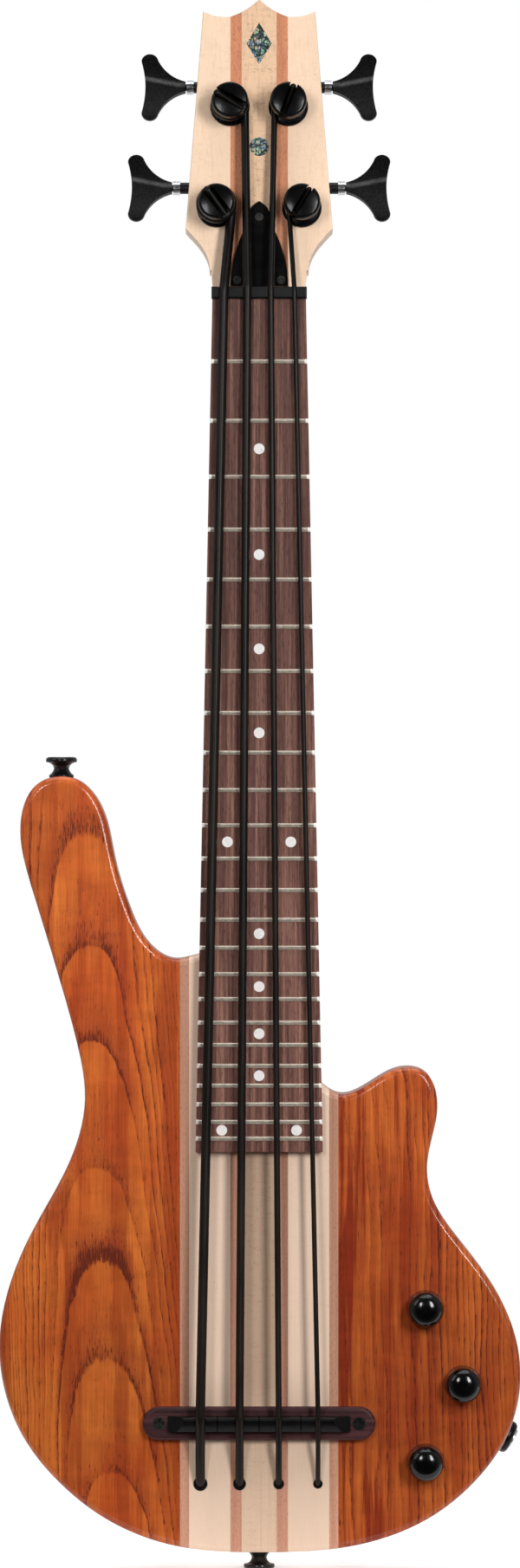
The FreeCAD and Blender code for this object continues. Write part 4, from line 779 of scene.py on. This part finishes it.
@dataclass(frozen=True)
class KeyPlastic:
    """Satin black of a tuning key, with a painted highlight along the crown of its thumb piece."""

    name: str
    colour: Colour
    rubbed: Colour
    painted_highlight: Colour
    highlight_rise: float = 1.2
    highlight_half: float = 1.7
    highlight_flare: float = 0.2
    flare_length: float = 17.0
    roughness: float = 0.3

    def build(self, axis_z: float, outer_x: float) -> Material:
        """Make the material for one key.

        Args:
            axis_z: the height of the key's own axis, in millimetres.
            outer_x: how far from the centre line the thumb piece ends, in millimetres.

        Returns:
            The material.
        """
        graph = Graph(self.name)
        where = graph.place()
        x, _, z = graph.split(where)
        # Painted highlight: a lighter band along the thumb piece's crown stands in for light reflected off
        # it.
        outward = graph.math("SUBTRACT", graph.math("ABSOLUTE", x), outer_x - self.flare_length)
        highlight_line = graph.math("MULTIPLY_ADD", graph.math("MAXIMUM", outward, 0.0), self.highlight_flare,
                           axis_z + self.highlight_rise)
        off = graph.math("ABSOLUTE", graph.math("SUBTRACT", z, highlight_line))
        painted_highlight = graph.span(off, 0.0, self.highlight_half, 1.0, 0.0)
        cloud = graph.noise(where, (0.09, 0.09, 0.09))
        fine = graph.noise(where, (1.1, 1.1, 1.1))
        ground = graph.mix(graph.span(cloud, *RUBBED), self.colour, self.rubbed)
        painted_highlight = graph.math("MULTIPLY", painted_highlight, graph.span(cloud, 0.3, 0.6, 0.55, 1.0))
        ground = graph.mix(painted_highlight, ground, self.painted_highlight)
        ground = graph.tint(ground, graph.spread(fine, 0.8, 1.25))
        graph.surface(Base_Color=ground,
                      Roughness=graph.spread(fine, self.roughness - SMOOTHER, self.roughness + ROUGHER),
                      Specular_IOR_Level=0.14)
        graph.bump(fine, depth=0.02, strength=0.5)
        return graph.material


@dataclass(frozen=True)
class StringRubber:
    """Smooth dark string of soft rubber, faintly brown, with painted shade that makes it near black over
    the head.
    """

    name: str
    colour: Colour
    edge: Colour
    head_painted_shade: float = 0.28

    def build(self) -> Material:
        """Make the material.

        Returns:
            The material.
        """
        graph = Graph(self.name)
        where = graph.place()
        bloom = graph.noise(where, (0.25, 0.25, 0.02))
        fine = graph.noise(where, (2.4, 2.4, 0.7))
        ground = graph.mix(graph.span(bloom, 0.35, 0.7), self.colour, self.edge)
        ground = graph.tint(ground, graph.spread(fine, 0.85, 1.15))
        # Painted shade: the same rubber is darkened past the nut to stand in for the darker light on the
        # strings over the head.
        painted_head_shade = graph.span(graph.split(where)[2], *ACROSS_NUT, 1.0, self.head_painted_shade)
        ground = graph.tint(ground, painted_head_shade)
        graph.surface(Base_Color=ground, Roughness=graph.spread(bloom, 0.3, 0.4), Specular_IOR_Level=0.16)
        graph.bump(fine, depth=0.015, strength=0.4)
        return graph.material


@dataclass(frozen=True)
class BareMetal:
    """Plain metal with fine drawing marks."""

    name: str
    colour: Colour
    tarnish: Colour
    roughness: float
    brushed: Triple = (0.3, 3.0, 3.0)
    smoother: float = 0.06
    rougher: float = 0.1

    def build(self) -> Material:
        """Make the material.

        Returns:
            The material.
        """
        graph = Graph(self.name)
        where = graph.place()
        marks = graph.noise(where, self.brushed)
        cloud = graph.noise(where, (0.2, 0.2, 0.2))
        ground = graph.mix(graph.span(cloud, *TARNISHED), self.colour, self.tarnish)
        roughness = graph.spread(marks, self.roughness - self.smoother, self.roughness + self.rougher)
        graph.surface(Base_Color=ground, Metallic=1.0, Roughness=roughness)
        graph.bump(marks, depth=0.01, strength=0.35)
        return graph.material


@dataclass(frozen=True)
class FretMetal:
    """Drawn fret metal, shiny along the crown, with a painted white glint where its ends are rounded over.
    """

    name: str
    crown: Colour
    tarnish: Colour
    painted_end_glint: Colour
    board_half: float = 21.9
    board_taper: float = -0.01995
    glint_length: float = 1.7
    metallic: float = 0.6
    glint_metallic_change: float = -0.5
    glint_roughness_change: float = 0.25

    def build(self) -> Material:
        """Make the material.

        Returns:
            The material.
        """
        graph = Graph(self.name)
        where = graph.place()
        x, _, z = graph.split(where)
        # Painted highlight: the last millimetres of each fret at the board's edges are made matt white,
        # standing in for the glint of light on the rounded fret ends.
        half = graph.math("MULTIPLY_ADD", z, self.board_taper, self.board_half)
        inward = graph.math("SUBTRACT", half, graph.math("ABSOLUTE", x))
        painted_end_glint = graph.span(inward, self.glint_length * 0.5, self.glint_length, 1.0, 0.0)
        marks = graph.noise(where, (0.5, 6.0, 6.0))
        cloud = graph.noise(where, (0.2, 0.2, 0.2))
        ground = graph.mix(graph.span(cloud, *TARNISHED), self.crown, self.tarnish)
        ground = graph.mix(painted_end_glint, ground, self.painted_end_glint)
        roughness = graph.spread(marks, 0.14, 0.3)
        roughness = graph.math("MULTIPLY_ADD", painted_end_glint, self.glint_roughness_change, roughness)
        metallic = graph.math("MULTIPLY_ADD", painted_end_glint, self.glint_metallic_change, self.metallic)
        graph.surface(Base_Color=ground, Metallic=metallic, Roughness=roughness)
        graph.bump(marks, depth=0.01, strength=0.35)
        return graph.material


@dataclass(frozen=True)
class CircuitBoard:
    """Green board with lighter tracks."""

    name: str
    mask: Colour = (22, 74, 44)
    track: Colour = (58, 122, 74)

    def build(self) -> Material:
        """Make the material.

        Returns:
            The material.
        """
        graph = Graph(self.name)
        where = graph.place()
        tracks = graph.cells(where, (0.28, 0.28, 0.28), Cells.EDGES)
        line = graph.span(tracks.outputs["Distance"], 0.05, 0.12, 1.0, 0.0)
        fine = graph.noise(where, (1.5, 1.5, 1.5), detail=2.0, roughness=0.5)
        ground = graph.mix(line, self.mask, self.track)
        ground = graph.tint(ground, graph.spread(fine, 0.85, 1.1))
        graph.surface(Base_Color=ground, Roughness=graph.spread(fine, 0.3, 0.42))
        graph.bump(line, depth=0.04, strength=0.6)
        return graph.material


Finish = Union[RingWood, Maple, PoredStripe, Rosewood, Pearl, Abalone, BlackSurface, BareMetal,
               FretMetal, CircuitBoard]


def dress(node: str, material: Material) -> None:
    """Give one solid of the frame its finish.

    Args:
        node: the solid's name.
        material: the finish.
    """
    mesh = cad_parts[node].data
    mesh.materials.clear()
    mesh.materials.append(material)
    LOG.info("%s dressed in %s", node, material.name)


def dress_all(**finishes: Finish) -> None:
    """Build each finish and give it to its own solid.

    Args:
        **finishes: finishes by the solid's name.
    """
    for node, finish in finishes.items():
        dress(node, finish.build())


# -------------------- sub-assemblies
@dataclass
class Woodwork:
    """Body wings, neck laminations and the inlays of the head."""

    wing_bass: RingWood = RingWood(
        "wing_wood_bass", light=(216, 118, 50), warm=(188, 84, 36), red=(148, 54, 26), dark=(84, 28, 13),
        heart_x=-71.0, heart_lean=-0.042, arch_spacing=50.0, arch_start=0.2, steepness=0.0065,
        steepening=3.0, tip_round=5.0, waver=12.0, shade_from=-58.0, shade_to=-32.0, shade=0.55,
        flame=0.55, flame_pitch=0.085, flame_outer=1.0, plain=0.3)
    wing_treble: RingWood = RingWood(
        "wing_wood_treble", light=(205, 106, 46), warm=(170, 73, 33), red=(134, 44, 23), dark=(78, 26, 13),
        heart_x=32.0, heart_lean=0.012, arch_spacing=90.0, arch_start=0.0, steepness=2.6,
        steepening=1.5, tip_round=8.0, waver=15.0, shade_from=88.0, shade_to=52.0, shade=0.2,
        flame=0.92, flame_pitch=0.145, flame_outer=0.3, plain=0.4)
    # The centre strip's darker body and head colours are partly painted shade of the strings.
    centre: Maple = Maple("maple_centre", tail=(204, 175, 151), body=(188, 158, 134), head=(232, 194, 160),
                          line=(176, 144, 116), fleck_and_shade=(140, 110, 88), fleck_strength=0.75)
    # The outer strips' darker tail colour is painted shade against the floor's glow.
    outer: Maple = Maple("maple_outer", tail=(215, 188, 166), body=(236, 206, 183), head=(248, 216, 187),
                         line=(222, 186, 152), fleck_and_shade=(202, 168, 140), fleck_strength=0.4)
    inner_stripe: PoredStripe = PoredStripe("stripe_inner", body=(184, 133, 110), head=(208, 138, 101),
                                            pore=(142, 86, 66))
    outer_stripe: PoredStripe = PoredStripe("stripe_outer", body=(190, 140, 115), head=(208, 138, 101),
                                            pore=(146, 90, 70))
    shell: Abalone = Abalone("abalone_inlay")

    def dress(self) -> None:
        """Give the wood and its inlays their finishes."""
        dress_all(body_wing_bass=self.wing_bass, body_wing_treble=self.wing_treble,
                  lamination_centre=self.centre, laminations_outer=self.outer,
                  stripes_inner=self.inner_stripe, stripes_outer=self.outer_stripe,
                  head_inlays=self.shell)


@dataclass
class Fretboard:
    """Fretboard, frets, position dots, nut and the truss rod under its cover."""

    wood: Rosewood = Rosewood(
        "rosewood_board", dark=(62, 34, 29), middle=(111, 74, 65), light=(156, 112, 96),
        shade_high=0.86, shade_low=1.12)
    # The frets' white colour at their ends is a painted glint.
    fret: FretMetal = FretMetal(
        "fret_metal", crown=(206, 194, 178), tarnish=(168, 154, 138), painted_end_glint=(254, 252, 246))
    dot: Pearl = Pearl("pearl_dots")
    nut: BlackSurface = BlackSurface(
        "nut_black", colour=(9, 9, 10), rubbed=(18, 18, 19), roughness=0.34, gloss=0.14)
    rod: BareMetal = BareMetal("rod_steel", colour=(168, 168, 170), tarnish=(128, 124, 120), roughness=0.35)
    rod_nut: BareMetal = BareMetal(
        "rod_nut_brass", colour=(206, 170, 98), tarnish=(168, 130, 70), roughness=0.3)
    cover: BlackSurface = BlackSurface(
        "cover_gloss_black", colour=(6, 6, 6), rubbed=(12, 12, 13), roughness=0.2, coat=0.3,
        coat_roughness=0.03, relief=0.004, gloss=0.12)

    def dress(self) -> None:
        """Give the board and what it carries their finishes."""
        dress_all(fretboard=self.wood, frets=self.fret, fret_markers=self.dot, nut=self.nut,
                  truss_rod=self.rod, truss_rod_nut=self.rod_nut, truss_rod_cover=self.cover)


@dataclass
class TuningMachines:
    """The four enclosed tuning machines and the string wound on them."""

    case: BlackSurface = BlackSurface("tuner_case_black", colour=(16, 16, 17), rubbed=(32, 32, 34),
                                      roughness=0.34, grain=1.4, metallic=0.2)
    post: BlackSurface = BlackSurface("post_black", colour=(6, 6, 7), rubbed=(13, 13, 14), roughness=0.2,
                                      coat=0.05, coat_roughness=0.06, relief=0.008, gloss=0.13)
    # The key's lighter band colour is a painted highlight.
    key: KeyPlastic = KeyPlastic(
        "key_satin_black", colour=(6, 6, 7), rubbed=(12, 12, 13), painted_highlight=(76, 76, 78))
    washer: BareMetal = BareMetal(
        "washer_metal", colour=(196, 198, 202), tarnish=(118, 120, 124), roughness=0.2)
    gear: BareMetal = BareMetal("gear_brass", colour=(206, 170, 98), tarnish=(170, 132, 72), roughness=0.3)
    worm: BareMetal = BareMetal(
        "worm_steel", colour=(176, 176, 178), tarnish=(132, 130, 128), roughness=0.3)

    def dress(self, string: Material) -> None:
        """Give the machines their finishes.

        Args:
            string: the finish of the strings, which their windings share.
        """
        case = self.case.build()
        post = self.post.build()
        gear = self.gear.build()
        worm = self.worm.build()
        dress("tuner_housings", case)
        dress("tuner_bushings", post)
        dress("tuner_key_washers", self.washer.build())
        for name in STRING_NAMES:
            low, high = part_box(f"tuner_key_{name}")
            axis_z = (low.z + high.z) * MILLIMETRES / 2
            outer_x = max(abs(low.x), abs(high.x)) * MILLIMETRES
            dress(f"tuner_key_{name}", self.key.build(axis_z, outer_x))
            dress(f"tuner_post_{name}", post)
            dress(f"tuner_gear_{name}", gear)
            dress(f"tuner_worm_{name}", worm)
            dress(f"string_wrap_{name}", string)


@dataclass
class Strings:
    """The four strings and their ferrules through the body."""

    # The strings' darkening over the head is painted shade.
    rubber: StringRubber = StringRubber("string_rubber", colour=(13, 10, 8), edge=(30, 23, 18))
    ferrule: BlackSurface = BlackSurface("ferrule_black", colour=(18, 18, 19), rubbed=(34, 34, 36),
                                         roughness=0.3, metallic=0.5)

    def dress(self) -> Material:
        """Give the strings and ferrules their finishes.

        Returns:
            The strings' finish.
        """
        material = self.rubber.build()
        for name in STRING_NAMES:
            dress(f"string_{name}", material)
        dress("string_ferrules", self.ferrule.build())
        return material


@dataclass
class Bridge:
    """Bridge bar, saddles and the pickup strips under them."""

    bar: Rosewood = Rosewood("bridge_rosewood", dark=(36, 16, 18), middle=(60, 30, 32), light=(86, 48, 48),
                             grain=Grain.ALONG_X, roughness=0.34)
    saddle: BlackSurface = BlackSurface(
        "saddle_black", colour=(6, 6, 7), rubbed=(14, 14, 15), roughness=0.28, relief=0.01,
        gloss=0.14)
    strip: BareMetal = BareMetal(
        "pickup_foil", colour=(200, 150, 110), tarnish=(150, 106, 76), roughness=0.35)

    def dress(self) -> None:
        """Give the bridge its finishes."""
        dress_all(bridge_base=self.bar, bridge_saddles=self.saddle, pickup_elements=self.strip)


@dataclass
class Controls:
    """Knobs, pots, preamp, battery, cover plate and output socket."""

    knob: BlackSurface = BlackSurface(
        "knob_gloss_black", colour=(5, 5, 6), rubbed=(11, 11, 12), roughness=0.18, coat=0.4,
        coat_roughness=0.03, relief=0.003, gloss=0.12)
    shaft: BareMetal = BareMetal(
        "shaft_metal", colour=(200, 200, 202), tarnish=(160, 158, 154), roughness=0.28)
    pot: BareMetal = BareMetal("pot_metal", colour=(186, 188, 192), tarnish=(140, 140, 142), roughness=0.34)
    plate: BlackSurface = BlackSurface("plate_matt_black", colour=(22, 22, 23), rubbed=(38, 38, 40),
                                       roughness=0.5, grain=1.6, relief=0.05)
    board: CircuitBoard = CircuitBoard("preamp_green")
    battery: BlackSurface = BlackSurface(
        "battery_wrap", colour=(52, 54, 60), rubbed=(84, 86, 92), roughness=0.38, grain=0.8,
        metallic=0.4)
    barrel: BareMetal = BareMetal(
        "socket_metal", colour=(204, 206, 210), tarnish=(166, 166, 168), roughness=0.24)
    ring: BlackSurface = BlackSurface("socket_ring_black", colour=(9, 9, 10), rubbed=(20, 20, 21),
                                      roughness=0.28, metallic=0.2, gloss=0.16)

    def dress(self) -> None:
        """Give the controls their finishes."""
        knob = self.knob.build()
        shaft = self.shaft.build()
        for name in KNOB_NAMES:
            dress(f"knob_{name}", knob)
            dress(f"pot_shaft_{name}", shaft)
        pot = self.pot.build()
        dress("pot_cases", pot)
        dress("pot_nuts", pot)
        dress_all(control_cover=self.plate, preamp_board=self.board, battery=self.battery,
                  jack_barrel=self.barrel, jack_nut=self.ring)


@dataclass
class Fittings:
    """Strap buttons and every screw."""

    button: BlackSurface = BlackSurface(
        "button_black", colour=(14, 14, 15), rubbed=(30, 30, 32), roughness=0.28, coat=0.4,
        coat_roughness=0.1, metallic=0.3)
    screw: BlackSurface = BlackSurface(
        "screw_black", colour=(30, 29, 29), rubbed=(62, 60, 58), roughness=0.34, metallic=0.6)

    def dress(self) -> None:
        """Give the buttons and screws their finishes."""
        dress_all(strap_buttons=self.button, screws=self.screw)


# -------------------- studio
def add_object(name: str, data: bpy.types.ID) -> bpy.types.Object:
    """Put a new object in the scene.

    Args:
        name: the object's name.
        data: its mesh, light or camera.

    Returns:
        The object.
    """
    added = bpy.data.objects.new(name, data)
    bpy.context.scene.collection.objects.link(added)
    return added


@dataclass
class Softbox:
    """One large soft light."""

    name: str
    place: Triple
    aim: Triple
    size: tuple[float, float]
    power: float

    def build(self) -> None:
        """Hang the light."""
        data = bpy.data.lights.new(self.name, "AREA")
        data.shape = "RECTANGLE"
        data.size, data.size_y = self.size
        data.energy = self.power
        light = add_object(self.name, data)
        light.location = self.place
        light.rotation_euler = (Vector(self.aim) - Vector(self.place)).to_track_quat("-Z", "Y").to_euler()
        LOG.info("light %s hung", self.name)


@dataclass
class Studio:
    """Pale floor, soft light and the camera, square to the front of the instrument."""

    floor_half: float = 0.8
    floor_front: float = 0.06
    floor_glow: float = 0.5
    floor_colour: Colour = (244, 244, 245)
    floor_tooth: float = 3.0
    camera_distance: float = 4.0
    camera_x: float = 0.0004
    camera_z: float = -0.2271
    metres_high: float = 0.73468
    sensor: float = 36.0
    near_clip: float = 0.05
    far_clip: float = 50.0
    room_front: float = 0.0
    room_side: float = 0.42
    front_ends: float = -0.95
    side_starts: float = -0.1
    overhead_strength: float = 1.4
    overhead_spread: float = 50.0
    overhead_height: float = 2.0
    boxes: Sequence[Softbox] = field(default_factory=lambda: (
        Softbox("key_right", place=(0.85, -1.9, 0.3), aim=(0.0, 0.0, -0.2), size=(0.35, 0.9), power=29.0),
        Softbox("front_left", place=(-0.6, -2.1, 0.3), aim=(0.0, 0.0, -0.2), size=(0.3, 0.6), power=13.5),
        Softbox("side_left_high", place=(-1.7, -0.95, 0.9), aim=(0.0, 0.0, -0.3), size=(1.0, 1.2),
                power=7.0),
    ))

    def build(self) -> None:
        """Lay the floor, light the room and set the camera."""
        self.lay_floor()
        self.light_room()
        self.hang_overhead()
        for softbox in self.boxes:
            softbox.build()
        self.set_camera()

    def lay_floor(self) -> None:
        """Lay a pale floor under the lower strap button."""
        low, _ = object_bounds()
        half = self.floor_half
        front = -self.floor_front
        mesh = bpy.data.meshes.new("studio_floor")
        corners = [(-half, front, low.z), (half, front, low.z), (half, half, low.z), (-half, half, low.z)]
        mesh.from_pydata(corners, [], [(0, 1, 2, 3)])
        floor = add_object("studio_floor", mesh)
        graph = Graph("floor_paper")
        tooth = graph.noise(graph.place(), (0.02, 0.02, 0.02))
        red, green, blue = self.floor_colour
        shaded = (red - self.floor_tooth, green - self.floor_tooth, blue - self.floor_tooth)
        paper = graph.mix(tooth, self.floor_colour, shaded)
        graph.surface(Base_Color=paper, Roughness=0.85, Specular_IOR_Level=0.1, Emission_Color=paper,
                      Emission_Strength=self.floor_glow)
        mesh.materials.append(graph.material)
        floor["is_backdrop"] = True
        LOG.info("floor laid at %.4f m", low.z)

    def light_room(self) -> None:
        """Fill the room with soft light from the sides and behind, and show the camera plain white."""
        world = bpy.data.worlds.new("studio_room")
        world.use_nodes = True
        tree = world.node_tree
        tree.nodes.clear()
        output = tree.nodes.new("ShaderNodeOutputWorld")
        lit = tree.nodes.new("ShaderNodeBackground")
        seen = tree.nodes.new("ShaderNodeBackground")
        choose = tree.nodes.new("ShaderNodeMixShader")
        path = tree.nodes.new("ShaderNodeLightPath")
        direction = tree.nodes.new("ShaderNodeTexCoord")
        parts = tree.nodes.new("ShaderNodeSeparateXYZ")
        depth = tree.nodes.new("ShaderNodeMapRange")
        depth.interpolation_type = "SMOOTHSTEP"
        for name, value in (("From Min", self.front_ends), ("From Max", self.side_starts),
                            ("To Min", self.room_front), ("To Max", self.room_side)):
            depth.inputs[name].default_value = value
        tree.links.new(direction.outputs["Generated"], parts.inputs[0])
        tree.links.new(parts.outputs["Y"], depth.inputs["Value"])
        tree.links.new(depth.outputs["Result"], lit.inputs["Strength"])
        lit.inputs["Color"].default_value = WHITE
        seen.inputs["Color"].default_value = WHITE
        tree.links.new(path.outputs["Is Camera Ray"], choose.inputs[0])
        tree.links.new(lit.outputs[0], choose.inputs[1])
        tree.links.new(seen.outputs[0], choose.inputs[2])
        tree.links.new(choose.outputs[0], output.inputs["Surface"])
        bpy.context.scene.world = world
        LOG.info("room lit")

    def hang_overhead(self) -> None:
        """Hang the wide light above, which keeps the floor white out to its edges."""
        data = bpy.data.lights.new("overhead", "SUN")
        data.energy = self.overhead_strength
        data.angle = math.radians(self.overhead_spread)
        light = add_object("overhead", data)
        light.location = (0.0, 0.0, self.overhead_height)
        LOG.info("overhead light hung")

    def set_camera(self) -> None:
        """Stand the camera square to the front, far enough back for a long lens."""
        data = bpy.data.cameras.new("camera")
        data.sensor_width = self.sensor
        data.lens = self.sensor * self.camera_distance / self.metres_high
        data.clip_start = self.near_clip
        data.clip_end = self.far_clip
        camera = add_object("camera", data)
        camera.location = (self.camera_x, -self.camera_distance, self.camera_z)
        camera.rotation_euler = (math.pi / 2, 0.0, 0.0)
        bpy.context.scene.camera = camera
        LOG.info("camera set with a %.1f mm lens", data.lens)


def main() -> None:
    """Dress the instrument and set the studio."""
    logging.basicConfig(level=logging.INFO, format="%(message)s")
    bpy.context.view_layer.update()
    bpy.context.scene.view_settings.view_transform = "Standard"
    Studio().build()
    Woodwork().dress()
    Fretboard().dress()
    string_material = Strings().dress()
    TuningMachines().dress(string_material)
    Bridge().dress()
    Controls().dress()
    Fittings().dress()


if __name__ == "__main__":
    main()
